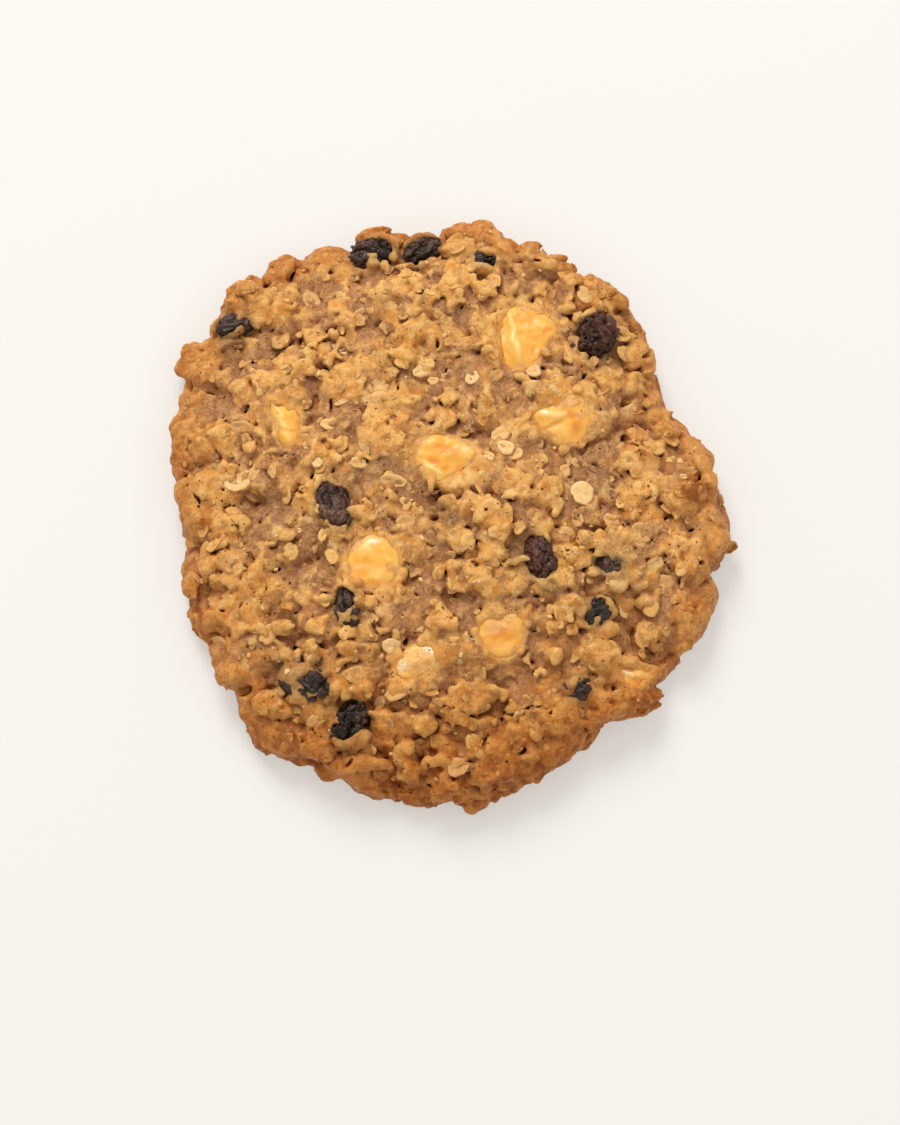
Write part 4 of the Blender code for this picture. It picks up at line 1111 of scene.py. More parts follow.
def put(me, name, values):
    a = me.attributes.new(name, "FLOAT", "POINT")
    a.data.foreach_set("value", np.ascontiguousarray(values, np.float32))


def film_at(p):
    """How much raisin juice shows at points, and how purple it is."""
    film, purple = np.zeros(len(p)), np.zeros(len(p))
    wob = F.sample(WARP[0], p) * 4.0, F.sample(WARP[1], p) * 4.0
    for x, y, reach, strength, side in FILMS:
        d = np.hypot(p[:, 0] + wob[0] - x, p[:, 1] + wob[1] - y)
        a = strength * bump1(d, reach / 2)
        more = a > film
        purple = np.where(more, side, purple)
        film = np.maximum(film, a)
    return film * (p[:, 2] > 3), purple


def colour_fields(obj, gold=None, pale=None, toast=None):
    """Per-point facts that the crust's material reads."""
    p = points_of(obj.data)
    nz = np.empty(len(p) * 3, np.float32)
    obj.data.vertices.foreach_get("normal", nz)
    nz = nz.reshape(-1, 3)
    inside = p - 0.12 * nz
    put(obj.data, "gold", np.clip(F.sample(F.G, inside) if gold is None else gold, 0, 1))
    put(obj.data, "pale", np.clip(F.sample(F.P, inside) if pale is None else pale, 0, 1))
    # the toasted dome at the right and the caramelised ridge beside it
    spot = np.zeros(len(p))
    for x, y, r, amount in ((42.9, 1.2, 2.9, 1.35), (33.0, 10.8, 1.9, 0.8), (34.6, 7.8, 1.9, 0.8)):
        spot = np.maximum(spot, amount * np.exp(-(np.hypot(p[:, 0] - x, p[:, 1] - y) / r) ** 3) * (p[:, 2] > 7))
    put(obj.data, "toast", np.maximum(np.clip(F.sample(F.O, inside) if toast is None else toast, 0, 1), spot))
    put(obj.data, "nook", np.clip((F.sample(NEAR, p) - 0.5) * 3.2, -1, 1))
    put(obj.data, "dell", np.clip((F.sample(FAR, p) - 0.5) * 3.2, -1, 1))
    share = np.hypot(p[:, 0], p[:, 1]) / rim_radius(p[:, 0], p[:, 1])
    put(obj.data, "rim", np.clip(share, 0, 1.1))
    put(obj.data, "high", p[:, 2] / 16.0)
    film, purple = film_at(p)
    juice = F.sample(F.J, p)
    purple = np.where(juice > film, F.sample(F.K, p), purple)
    film = np.maximum(film, juice)
    put(obj.data, "film", film)
    put(obj.data, "purple", purple)
    lap = F.sample(F.L, p)
    put(obj.data, "lap", lap)


# --------------------------------------------------------------------------
# Oat granules: crisp-edged bits of their own, sunk in the crust
# --------------------------------------------------------------------------
def ball(level):
    bm = bmesh.new()
    bmesh.ops.create_icosphere(bm, subdivisions=level, radius=1.0)
    p = np.array([v.co for v in bm.verts])
    f = np.array([[v.index for v in face.verts] for face in bm.faces])
    bm.free()
    return p, f


BALLS = {n: ball(n) for n in (2, 3, 5, 6)}
BUMPY = {n: [np.array([noise.noise(Vector(q * 1.7 + 7.0 * i)) for q in BALLS[n][0]])
             for i in range(9)] for n in (2, 3)}


def granule(level, half, axes, centre, cuts):
    """One broken bit of oat: an ellipsoid with flats and a rough skin."""
    p, f = BALLS[level]
    q = p * (1 + 0.22 * BUMPY[level][rng.integers(9)])[:, None] * np.array(half)
    for cx, cy, cz, ct in cuts:
        over = np.maximum(q @ np.array([cx, cy, cz]) - ct, 0)
        q = q - over[:, None] * np.array([cx, cy, cz]) * 0.92
    return centre + q @ axes, f


def scatter_granules():
    """Two sizes of granule; each list holds (verts, faces, gold, pale, toast)."""
    big, small = [], []
    for spacing, limit, lo, hi, level, store in (
            (11.0, 24, 0.95, 1.4, 3, big), (6.0, 150, 0.40, 0.70, 2, small)):
        pts = crust_points()
        taken = clear_of
        for p in spread(pts, spacing, limit, taken):
            share = math.hypot(p[0], p[1]) / float(rim_radius(p[0], p[1]))
            edge = min(max((share - 0.86) / 0.10, 0.0), 1.0)
            still = smoothness(p[0], p[1]) * (1 - edge)
            if rng.random() < 0.9 * edge + 0.45 * still:
                continue
            n = base_normal(p)
            a = rng.uniform(lo, hi)
            half = (a, a * rng.uniform(0.6, 0.95), a * rng.uniform(0.30, 0.6))
            axes = turned(n, rng.uniform(0, 6.28), rng.uniform(0, 6.28), abs(rng.normal(0, 0.45)))
            c = p - n * half[2] * rng.uniform(0.5, 1.0)
            v, f = granule(level, half, axes, c, random_cuts(3, half))
            if v[:, 2].min() < 0.3 or F.sample(F.D, c[None, :])[0] > 0.15:
                continue
            gold = min(max(0.62 + rng.normal(0, 0.26) - 0.35 * still, 0), 1)
            pale = rng.uniform(0.3, 0.9) if rng.random() < 0.13 * (1 - edge) else 0.0
            toast = min(max(rng.normal(-0.35, 0.35) + 0.35 * edge, 0), 1)
            store.append((v, f, gold, pale, toast))
            fill(c, axes, half)
    return big, small


def pnoise(p, scale, seed):
    """Smooth noise of about unit spread at any points (mm)."""
    lat = np.random.default_rng(seed).standard_normal((24, 24, 24))
    u = np.asarray(p, float) / scale + 100.0
    i = np.floor(u).astype(int)
    t = u - i
    w = np.stack([(1 - t) ** 3 / 6, (3 * t ** 3 - 6 * t * t + 4) / 6,
                  (-3 * t ** 3 + 3 * t * t + 3 * t + 1) / 6, t ** 3 / 6], -1)
    out = np.zeros(len(u))
    for a in range(4):
        for b in range(4):
            for c in range(4):
                out += w[:, 0, a] * w[:, 1, b] * w[:, 2, c] * lat[
                    (i[:, 0] + a) % 24, (i[:, 1] + b) % 24, (i[:, 2] + c) % 24]
    return out * 3.0


def flake_mesh(length, width, thick, seed, seg=22, rings=(0.0, 0.32, 0.6, 0.82, 0.95, 1.0)):
    """One rolled oat: an oval, slightly cupped flake with a crease along it,
    a nick at one end and a ragged edge."""
    r = np.random.default_rng(seed)
    phi = np.arange(seg) * 2 * math.pi / seg
    ragged = 1 + 0.05 * np.cos(2 * phi + r.uniform(0, 6)) + 0.04 * np.cos(3 * phi + r.uniform(0, 6)) \
        + 0.035 * np.cos(7 * phi + r.uniform(0, 6)) + r.normal(0, 0.02, seg)
    ragged -= 0.14 * np.exp(-((np.minimum(phi, 2 * math.pi - phi)) / 0.22) ** 2)
    bend, cup = r.uniform(-0.05, 0.10), r.uniform(0.0, 0.10)
    verts, faces = [], []
    for side in (1, -1):
        for k, rr in enumerate(rings):
            if k == 0:
                verts.append((0.0, 0.0, side * thick / 2 - 0.10 * thick * (side > 0)))
                continue
            if k == len(rings) - 1 and side < 0:
                continue
            x = rr * ragged * np.cos(phi) * length / 2
            y = rr * ragged * np.sin(phi) * width / 2
            z = side * thick / 2 * math.sqrt(max(0.0, 1 - rr ** 5)) + np.zeros(seg)
            if side > 0:
                z = z - 0.45 * thick * np.exp(-(y / (0.13 * width)) ** 2) * (1 - rr ** 3)
            verts += list(zip(x, y, z))
    v = np.array(verts, float)
    v[:, 2] += bend * v[:, 0] ** 2 + cup * v[:, 1] ** 2
    v[:, 2] += 0.05 * pnoise(v + seed % 50, 0.9, 5)
    v[:, :2] += 0.05 * np.stack([pnoise(v, 0.8, 6 + seed % 7), pnoise(v, 0.8, 16 + seed % 7)], 1)
    n = len(rings) - 1

    def at(side, k, s):
        s %= seg
        if side > 0:
            return 0 if k == 0 else 1 + (k - 1) * seg + s
        base = 1 + n * seg
        if k == 0:
            return base
        if k == n:
            return at(1, n, s)
        return base + 1 + (k - 1) * seg + s
    for side in (1, -1):
        for s in range(seg):
            a, b, c = at(side, 0, s), at(side, 1, s), at(side, 1, s + 1)
            faces.append((a, b, c) if side > 0 else (a, c, b))
            for k in range(1, n):
                q0, q1, q2, q3 = at(side, k, s), at(side, k + 1, s), at(side, k + 1, s + 1), at(side, k, s + 1)
                if side > 0:
                    faces += [(q0, q1, q2), (q0, q2, q3)]
                else:
                    faces += [(q0, q2, q1), (q0, q3, q2)]
    return v, np.array(faces)


def grid_top(x, y):
    """Finished surface height over a place, mm."""
    i = min(max((x - F.lo[0]) / F.h, 0), F.n[0] - 2)
    j = min(max((y - F.lo[1]) / F.h, 0), F.n[1] - 2)
    best = []
    for a in (int(i), int(i) + 1):
        for b in (int(j), int(j) + 1):
            col = F.D[a, b]
            k = np.nonzero(col < 0)[0]
            if len(k):
                k = k[-1]
                t = col[k] / (col[k] - col[min(k + 1, len(col) - 1)] - 1e-9)
                best.append(F.ax[2][k] + F.h * np.clip(t, 0, 1))
    return float(np.mean(best)) if best else 3.0


def scatter_shards():
    """Oat flakes baked into the crust: tilted, half buried, the crust's own colours."""
    out = []
    for k, p in enumerate(spread(crust_points(), 2.9, 760, clear_of)):
        share = math.hypot(p[0], p[1]) / float(rim_radius(p[0], p[1]))
        n = base_normal(p)
        if n[2] < 0.62 or share > 0.955:
            continue
        still = smoothness(p[0], p[1])
        if rng.random() < 0.5 * still + 0.4 * max(0.0, (share - 0.84) / 0.09):
            continue
        length = rng.uniform(2.0, 4.3)
        width, thick = length * rng.uniform(0.48, 0.8), rng.uniform(0.30, 0.42)
        v, f = flake_mesh(length, width, thick, 5000 + k, 16, (0.0, 0.5, 0.85, 1.0))
        for _ in range(rng.integers(1, 4)):
            # a broken side
            t = rng.uniform(0, 6.28)
            d = np.array([math.cos(t), math.sin(t)])
            over = np.maximum(v[:, :2] @ d - rng.uniform(0.15, 0.75) * np.abs(v[:, :2] @ d).max(), 0)
            v[:, :2] -= over[:, None] * d * 0.9
        tilt = abs(rng.normal(0.0, 0.20)) + 0.05
        axes = turned(n, rng.uniform(0, 6.28), rng.uniform(0, 6.28), tilt)
        z = grid_top(p[0], p[1])
        if abs(z - p[2]) > 1.2:
            continue
        c = np.array([p[0], p[1], z]) - n * (rng.uniform(0.05, 0.24) + 0.16 * width * tilt)
        if F.sample(F.D, c[None, :])[0] > 0.15:
            continue
        gold = min(max(0.62 + rng.normal(0, 0.28) - 0.3 * still, 0), 1)
        pale = rng.uniform(0.2, 0.7) if rng.random() < 0.22 else 0.0
        toast = min(max(rng.normal(-0.25, 0.30), 0), 1)
        out.append((c + v @ axes, f, gold, pale, toast))
        fill(c, axes, (length / 2, width / 2, thick / 2))
    return out


def fill(centre, axes, half):
    """Adds a granule to the copy of the field used for hollows."""
    w = F.window(centre, max(half) + 0.6)
    if w is None:
        return
    dx, dy, dz = X[w[0]] - centre[0], Y[:, w[1]] - centre[1], Z[:, :, w[2]] - centre[2]
    q = [(axes[i][0] * dx + axes[i][1] * dy + axes[i][2] * dz) / half[i] for i in range(3)]
    d = (np.sqrt(q[0] ** 2 + q[1] ** 2 + q[2] ** 2) - 1.0) * min(half)
    F.E[w] = np.minimum(F.E[w], d)


F.E = F.D.copy()
GRANULES = scatter_granules()
SHARDS = scatter_shards()
SOLID = np.clip(0.5 - F.E / (1.2 * F.h), 0, 1).astype(np.float32)
NEAR, FAR = F.blur(SOLID, 0.62), F.blur(SOLID, 1.9)
dough = make_dough()
colour_fields(dough)


def gather(parts, name):
    """Joins [(verts, faces, one value or more for each part ...)] into one mesh."""
    vs, fs, off = [], [], 0
    for part in parts:
        vs.append(part[0])
        fs.append(part[1] + off)
        off += len(part[0])
    facts = [np.concatenate([np.broadcast_to(np.asarray(part[i], float), len(part[0])) for part in parts])
             for i in range(2, len(parts[0]))]
    return mesh_from(name, np.concatenate(vs), np.concatenate(fs)), facts


oat_chunks, facts = gather(GRANULES[0], "oat_chunks")
colour_fields(oat_chunks, *facts)
oat_bits, facts = gather(GRANULES[1], "oat_bits")
colour_fields(oat_bits, *facts)
oat_shards, facts = gather(SHARDS, "oat_shards")
colour_fields(oat_shards, *facts)


# --------------------------------------------------------------------------
# Materials
# --------------------------------------------------------------------------
def srgb(r, g, b):
    def f(c):
        c /= 255.0
        return c / 12.92 if c <= 0.04045 else ((c + 0.055) / 1.055) ** 2.4
    return (f(r), f(g), f(b), 1.0)


class Nodes:
    """Short names for building a node material."""

    def __init__(self, name):
        self.mat = bpy.data.materials.new(name)
        self.mat.use_nodes = True
        self.t = self.mat.node_tree
        self.p = self.t.nodes["Principled BSDF"]
        self.place = self.t.nodes.new("ShaderNodeTexCoord").outputs["Object"]

    def new(self, kind, **props):
        n = self.t.nodes.new(kind)
        for k, v in props.items():
            setattr(n, k, v)
        return n

    def link(self, value, socket):
        if isinstance(value, bpy.types.NodeSocket):
            self.t.links.new(value, socket)
        else:
            socket.default_value = value

    def attr(self, name):
        return self.new("ShaderNodeAttribute", attribute_name=name).outputs["Fac"]

    def scaled(self, k, shift=(0, 0, 0)):
        n = self.new("ShaderNodeMapping")
        self.link(self.place, n.inputs["Vector"])
        n.inputs["Scale"].default_value = (k, k, k) if not isinstance(k, tuple) else k
        n.inputs["Location"].default_value = shift
        return n.outputs["Vector"]

    def noise(self, size_mm, detail=3.0, rough=0.55, shift=(0, 0, 0), distort=0.0, out="Fac"):
        n = self.new("ShaderNodeTexNoise")
        k = 1000.0 / size_mm
        self.link(self.scaled(k, shift), n.inputs["Vector"])
        n.inputs["Scale"].default_value = 1.0
        n.inputs["Detail"].default_value = detail
        n.inputs["Roughness"].default_value = rough
        n.inputs["Distortion"].default_value = distort
        return n.outputs[out]

    def cells(self, size_mm, shift=(0, 0, 0), feature="F1", out="Distance", random=1.0):
        n = self.new("ShaderNodeTexVoronoi", feature=feature)
        self.link(self.scaled(1000.0 / size_mm, shift), n.inputs["Vector"])
        n.inputs["Scale"].default_value = 1.0
        n.inputs["Randomness"].default_value = random
        return n.outputs[out]

    def chips(self, size_mm, shift=(0, 0, 0), warp=0.35):
        """Two random values for each small irregular patch of the surface."""
        n = self.new("ShaderNodeTexNoise")
        self.link(self.scaled(1300.0 / size_mm, shift), n.inputs["Vector"])
        n.inputs["Scale"].default_value = 1.0
        n.inputs["Detail"].default_value = 2.0
        add = self.new("ShaderNodeVectorMath", operation="MULTIPLY_ADD")
        self.link(n.outputs["Color"], add.inputs[0])
        add.inputs[1].default_value = (warp * 2, warp * 2, warp * 2)
        self.link(self.scaled(1000.0 / size_mm, shift), add.inputs[2])
        v = self.new("ShaderNodeTexVoronoi", feature="F1")
        self.link(add.outputs[0], v.inputs["Vector"])
        v.inputs["Scale"].default_value = 1.0
        s = self.new("ShaderNodeSeparateColor")
        self.link(v.outputs["Color"], s.inputs[0])
        return s.outputs[0], s.outputs[1], v.outputs["Distance"]

    def slabs(self, size_mm, shift=(0, 0, 0), warp=0.25):
        """Height of small overlapping plates: each patch leans its own way."""
        n = self.new("ShaderNodeTexNoise")
        self.link(self.scaled(1100.0 / size_mm, shift), n.inputs["Vector"])
        n.inputs["Scale"].default_value = 1.0
        n.inputs["Detail"].default_value = 2.0
        add = self.new("ShaderNodeVectorMath", operation="MULTIPLY_ADD")
        self.link(n.outputs["Color"], add.inputs[0])
        add.inputs[1].default_value = (warp * 2, warp * 2, warp * 2)
        self.link(self.scaled(1000.0 / size_mm, shift), add.inputs[2])
        v = self.new("ShaderNodeTexVoronoi", feature="F1")
        self.link(add.outputs[0], v.inputs["Vector"])
        v.inputs["Scale"].default_value = 1.0
        off = self.new("ShaderNodeVectorMath", operation="SUBTRACT")
        self.link(add.outputs[0], off.inputs[0])
        self.link(v.outputs["Position"], off.inputs[1])
        lean = self.new("ShaderNodeVectorMath", operation="SUBTRACT")
        self.link(v.outputs["Color"], lean.inputs[0])
        lean.inputs[1].default_value = (0.5, 0.5, 0.5)
        dot = self.new("ShaderNodeVectorMath", operation="DOT_PRODUCT")
        self.link(off.outputs[0], dot.inputs[0])
        self.link(lean.outputs[0], dot.inputs[1])
        s = self.new("ShaderNodeSeparateColor")
        self.link(v.outputs["Color"], s.inputs[0])
        return self.math("ADD", self.math("MULTIPLY", dot.outputs["Value"], 1.6),
                         self.math("MULTIPLY", s.outputs[2], 0.45))

    def math(self, op, a, b=0.0, c=0.0, clamp=False):
        n = self.new("ShaderNodeMath", operation=op, use_clamp=clamp)
        self.link(a, n.inputs[0])
        self.link(b, n.inputs[1])
        self.link(c, n.inputs[2])
        return n.outputs[0]

    def ramp(self, a, lo, hi, to_lo=0.0, to_hi=1.0, smooth=True):
        n = self.new("ShaderNodeMapRange", interpolation_type="SMOOTHSTEP" if smooth else "LINEAR")
        for i, v in enumerate((a, lo, hi, to_lo, to_hi)):
            self.link(v, n.inputs[i])
        return n.outputs[0]

    def mix(self, f, a, b, kind="MIX"):
        n = self.new("ShaderNodeMix", data_type="RGBA", blend_type=kind)
        n.clamp_factor = True
        self.link(f, n.inputs[0])
        self.link(a, n.inputs[6])
        self.link(b, n.inputs[7])
        return n.outputs[2]

    def bump(self, height, strength, distance_mm, normal=None):
        n = self.new("ShaderNodeBump")
        n.inputs["Strength"].default_value = strength
        n.inputs["Distance"].default_value = distance_mm * MM
        self.link(height, n.inputs["Height"])
        if normal is not None:
            self.link(normal, n.inputs["Normal"])
        return n.outputs["Normal"]


TAUPE_C, TAUPE_DARK, TAUPE_PINK = srgb(190, 140, 96), srgb(154, 108, 68), srgb(202, 153, 116)
GOLD_C, GOLD_LIGHT, GOLD_DEEP = srgb(232, 174, 98), srgb(246, 202, 130), srgb(222, 152, 72)
PALE_C, WHITE_C = srgb(248, 214, 150), srgb(252, 234, 196)
TOAST_C, TOAST_DEEP = srgb(180, 106, 42), srgb(138, 74, 26)
# painted shade colours for the crust's creases and pits
NOOK_SHADE_C, PIT_SHADE_C = srgb(144, 74, 18), srgb(48, 18, 2)
GREEN_FILM, PURPLE_FILM = srgb(106, 88, 66), srgb(120, 84, 66)


def crust_material():
    m = Nodes("baked_crust")
    gold, pale, toast = m.attr("gold"), m.attr("pale"), m.attr("toast")
    nook, dell, rim, high = m.attr("nook"), m.attr("dell"), m.attr("rim"), m.attr("high")
    film, purple, lap = m.attr("film"), m.attr("purple"), m.attr("lap")

    fine = m.noise(0.50, 4.0, 0.68, (3, 1, 7))
    mid = m.noise(1.7, 3.0, 0.6, (9, 4, 2))
    broad = m.noise(7.0, 3.0, 0.55, (1, 8, 5))
    a1, a2, da = m.chips(2.3, (1, 2, 3))
    b1, b2, db = m.chips(1.05, (7, 2, 5), 0.3)

    # dough matrix to golden oat: by lump, then by small flake, then mottled
    g = m.math("ADD", gold, m.math("MULTIPLY", m.math("SUBTRACT", mid, 0.5), 0.8))
    g = m.math("ADD", g, m.math("MULTIPLY", m.math("SUBTRACT", broad, 0.5), 0.7))
    g = m.math("ADD", g, m.math("MULTIPLY", m.math("SUBTRACT", a1, 0.5), 0.40))
    g = m.math("ADD", g, m.math("MULTIPLY", m.math("SUBTRACT", b1, 0.5), 0.34))
    g = m.math("SUBTRACT", g, m.math("MULTIPLY", dell, 0.50))
    g = m.ramp(g, 0.05, 1.0)
    matrix = m.mix(m.ramp(fine, 0.35, 0.65), TAUPE_DARK, TAUPE_C)
    matrix = m.mix(m.math("MULTIPLY", m.ramp(b2, 0.6, 0.9), 0.55), matrix, TAUPE_PINK)
    oat = m.mix(m.ramp(a2, 0.25, 0.9), GOLD_C, GOLD_DEEP)
    oat = m.mix(m.math("MULTIPLY", m.ramp(b2, 0.45, 0.95), 0.65), oat, GOLD_LIGHT)
    base = m.mix(g, matrix, oat)
    # painted highlight: lighter gold on open spots away from creases, broken up by fine noise
    lit = m.ramp(m.math("ADD", m.math("MULTIPLY", fine, 0.7), m.math("MULTIPLY", nook, -0.9)), 0.40, 0.85)
    base = m.mix(m.math("MULTIPLY", lit, 0.50), base, GOLD_LIGHT)
    # bare and pale oats
    pw = m.math("MULTIPLY", pale, m.ramp(m.noise(0.9, 3, 0.6, (2, 2, 9)), 0.25, 0.62, 0.55, 1.0))
    small = m.math("MULTIPLY", m.ramp(b1, 0.93, 0.98), m.ramp(nook, 0.15, -0.15, 0.0, 0.45))
    pw = m.math("MAXIMUM", pw, m.math("MULTIPLY", small, m.ramp(rim, 0.92, 0.80)))
    base = m.mix(pw, base, PALE_C)
    base = m.mix(m.math("MULTIPLY", m.ramp(pw, 0.6, 1.0), m.ramp(nook, 0.0, -0.5, 0.0, 0.5)), base, WHITE_C)
    # browning: towards the rim, on proud spots and where marked
    edge = m.ramp(m.math("ADD", rim, m.math("MULTIPLY", m.math("SUBTRACT", broad, 0.5), 0.22)), 0.80, 1.03)
    low = m.ramp(high, 0.50, 0.12)
    brown = m.math("MAXIMUM", m.math("MULTIPLY", edge, 0.74), m.math("MULTIPLY", low, 0.9))
    brown = m.math("ADD", brown, m.math("MULTIPLY", toast, 0.88), clamp=True)
    spots = m.math("MULTIPLY", m.ramp(a1, 0.86, 0.96), m.ramp(mid, 0.45, 0.6, 0.0, 0.45))
    brown = m.math("ADD", m.math("MULTIPLY", brown, m.ramp(mid, 0.25, 0.65, 0.55, 1.0)), spots, clamp=True)
    base = m.mix(brown, base, m.mix(m.ramp(b2, 0.3, 0.8), TOAST_C, srgb(206, 136, 66)))
    deep = m.math("MULTIPLY", m.ramp(high, 0.30, 0.0), m.ramp(rim, 0.80, 0.97))
    deep = m.math("MAXIMUM", m.math("MULTIPLY", deep, 0.75), m.ramp(m.math("MULTIPLY", toast, mid), 0.36, 0.66, 0.0, 0.85))
    base = m.mix(deep, base, TOAST_DEEP)
    # raisin juice under the skin: grey film, darker where it is wrinkled
    tint = m.mix(purple, GREEN_FILM, PURPLE_FILM)
    blotch = m.noise(1.1, 4, 0.65, (7, 3, 3))
    tint = m.mix(m.ramp(blotch, 0.42, 0.30), tint, srgb(62, 44, 32))
    tint = m.mix(m.math("MULTIPLY", m.ramp(blotch, 0.55, 0.7), 0.45), tint, srgb(160, 124, 88))
    fw = m.math("MULTIPLY", film, m.ramp(m.math("ADD", blotch, m.math("MULTIPLY", film, 0.25)), 0.80, 0.42, 0.5, 1.0))
    base = m.mix(m.math("MULTIPLY", fw, 0.9), base, tint)
    # chip fat soaked into the dough round it
    base = m.mix(m.math("MULTIPLY", m.ramp(m.math("ADD", lap, m.math("MULTIPLY", m.math("SUBTRACT", mid, 0.5), 0.9)), 0.35, 1.05), 0.60), base, srgb(236, 168, 84))
    # painted shade: creases and pits darkened to warm brown, the deepest nearly to black
    crease = m.ramp(m.math("ADD", nook, m.math("MULTIPLY", m.math("SUBTRACT", fine, 0.5), 0.35)), 0.20, 0.72)
    crease = m.math("MULTIPLY", crease, m.math("ADD", m.math("MULTIPLY", brown, 0.28), 0.60))
    base = m.mix(crease, base, NOOK_SHADE_C)
    base = m.mix(m.ramp(nook, 0.62, 0.95), base, PIT_SHADE_C)
    # cinnamon and bran specks, irregular
    e1, e2, de = m.chips(0.80, (4, 4, 4), 0.45)
    size = m.ramp(e1, 0.66, 1.0, 0.0, 0.30, smooth=False)
    speck = m.math("LESS_THAN", de, size)
    base = m.mix(m.math("MULTIPLY", speck, m.ramp(e2, 0.0, 1.0, 0.35, 0.95, smooth=False)), base, srgb(84, 40, 18))
    f1, f2, df = m.chips(2.1, (8, 1, 6), 0.2)
    size2 = m.ramp(f1, 0.60, 1.0, 0.0, 0.14, smooth=False)
    speck2 = m.math("LESS_THAN", df, size2)
    base = m.mix(m.math("MULTIPLY", speck2, 0.88), base, srgb(44, 20, 10))

    # fine grain in the crumb
    fleck = m.noise(0.34, 3.0, 0.7, (5, 9, 2))
    base = m.mix(m.ramp(fleck, 0.30, 0.72), m.mix(1.0, base, (0.86, 0.81, 0.75, 1.0), "MULTIPLY"),
                 m.mix(1.0, base, (1.12, 1.11, 1.10, 1.0), "MULTIPLY"))
    base = m.mix(1.0, base, (0.965, 0.925, 0.85, 1.0), "MULTIPLY")
    # darker and browner towards the near side (-y)
    s = m.new("ShaderNodeSeparateXYZ")
    m.link(m.place, s.inputs[0])
    near = m.math("ADD", m.math("MULTIPLY", s.outputs[1], 1000.0), m.math("MULTIPLY", m.math("SUBTRACT", broad, 0.5), 14.0))
    base = m.mix(m.ramp(near, -14.0, -50.0), base, m.mix(1.0, base, (0.90, 0.80, 0.64, 1.0), "MULTIPLY"))
    m.link(base, m.p.inputs["Base Color"])
    rough = m.ramp(m.noise(0.8, 3, 0.6, (6, 1, 1)), 0.3, 0.7, 0.36, 0.72)
    m.link(rough, m.p.inputs["Roughness"])
    m.p.inputs["Specular IOR Level"].default_value = 0.34
    m.p.inputs["Specular Tint"].default_value = (1.0, 0.84, 0.64, 1.0)
    m.p.inputs["Subsurface Weight"].default_value = 0.15
    m.p.inputs["Subsurface Radius"].default_value = (1.0, 0.5, 0.2)
    m.p.inputs["Subsurface Scale"].default_value = 0.0010
    # micro-flakes, grain and fine pores
    flakes = m.math("ADD", m.math("MULTIPLY", m.math("SUBTRACT", b1, db), 0.9), m.math("MULTIPLY", e2, 0.35))
    grain = m.math("ADD", m.noise(0.26, 3.0, 0.65, (1, 1, 1)), m.math("MULTIPLY", m.noise(0.62, 3.0, 0.6, (2, 7, 1)), 1.5))
    plates = m.math("ADD", m.slabs(1.9, (3, 9, 4)), m.math("MULTIPLY", m.slabs(0.95, (8, 2, 6)), 0.6))
    n = m.bump(m.math("ADD", m.math("ADD", m.math("MULTIPLY", grain, 0.8), m.math("MULTIPLY", flakes, 0.6)),
                      m.math("MULTIPLY", plates, 1.25)), 0.75, 0.20)
    m.link(n, m.p.inputs["Normal"])
    return m.mat


crust = crust_material()
dough.data.materials.clear()
dough.data.materials.append(crust)
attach(dough, "root")
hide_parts("cookie_dough")
for bits in (oat_chunks, oat_bits, oat_shards):
    bits.data.materials.append(crust)
    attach(bits, "root")


# --------------------------------------------------------------------------
# Raisins
# --------------------------------------------------------------------------
def raisin_material():
    m = Nodes("raisin_skin")
    fold, dust_and_sheen, red, black = m.attr("fold"), m.attr("dust_and_sheen"), m.attr("red"), m.attr("black")
    fine = m.noise(0.40, 4.0, 0.65, (2, 3, 4))
    mid = m.noise(1.1, 3.0, 0.6, (5, 1, 4))
    base = m.mix(m.ramp(fine, 0.3, 0.7), srgb(44, 22, 15), srgb(88, 52, 38))
    base = m.mix(m.math("MULTIPLY", red, m.ramp(mid, 0.3, 0.65, 0.4, 1.0)), base, srgb(92, 32, 18))
    base = m.mix(m.math("MULTIPLY", black, m.ramp(mid, 0.25, 0.6, 0.75, 1.0)), base, srgb(12, 6, 5))
    # dust bloom on the ridges, kept out of the folds; it also serves as a painted grey sheen
    bloom_and_sheen = m.math("MULTIPLY", dust_and_sheen, m.ramp(m.noise(0.55, 4, 0.7, (8, 8, 2)), 0.40, 0.66))
    bloom_and_sheen = m.math("MULTIPLY", bloom_and_sheen, m.ramp(fold, 0.15, 0.6, 1.0, 0.15))
    base = m.mix(m.math("MULTIPLY", bloom_and_sheen, 0.75), base, srgb(132, 104, 88))
    # painted shade: the creases of the skin darkened nearly to black
    base = m.mix(m.ramp(fold, 0.30, 0.85), base, srgb(8, 4, 4))
    # grains of sugar and crumb caught on the skin; these light specks also stand in for painted glints
    g1, g2, gd = m.chips(0.55, (2, 6, 1), 0.3)
    grain = m.math("LESS_THAN", gd, m.ramp(g1, 0.80, 1.0, 0.0, 0.30, smooth=False))
    base = m.mix(m.math("MULTIPLY", grain, m.ramp(g2, 0.0, 1.0, 0.3, 0.8, smooth=False)), base, srgb(176, 140, 112))
    m.link(base, m.p.inputs["Base Color"])
    m.link(m.math("ADD", m.ramp(fine, 0.3, 0.7, 0.20, 0.36), m.math("MULTIPLY", bloom_and_sheen, 0.35)), m.p.inputs["Roughness"])
    m.p.inputs["Specular IOR Level"].default_value = 0.50
    m.p.inputs["Specular Tint"].default_value = (1.0, 0.86, 0.74, 1.0)
    n = m.bump(m.math("ADD", m.noise(0.20, 3.0, 0.6), m.math("MULTIPLY", m.noise(0.48, 3.0, 0.6, (4, 4, 4)), 1.4)),
               0.7, 0.12)
    m.link(n, m.p.inputs["Normal"])
    return m.mat
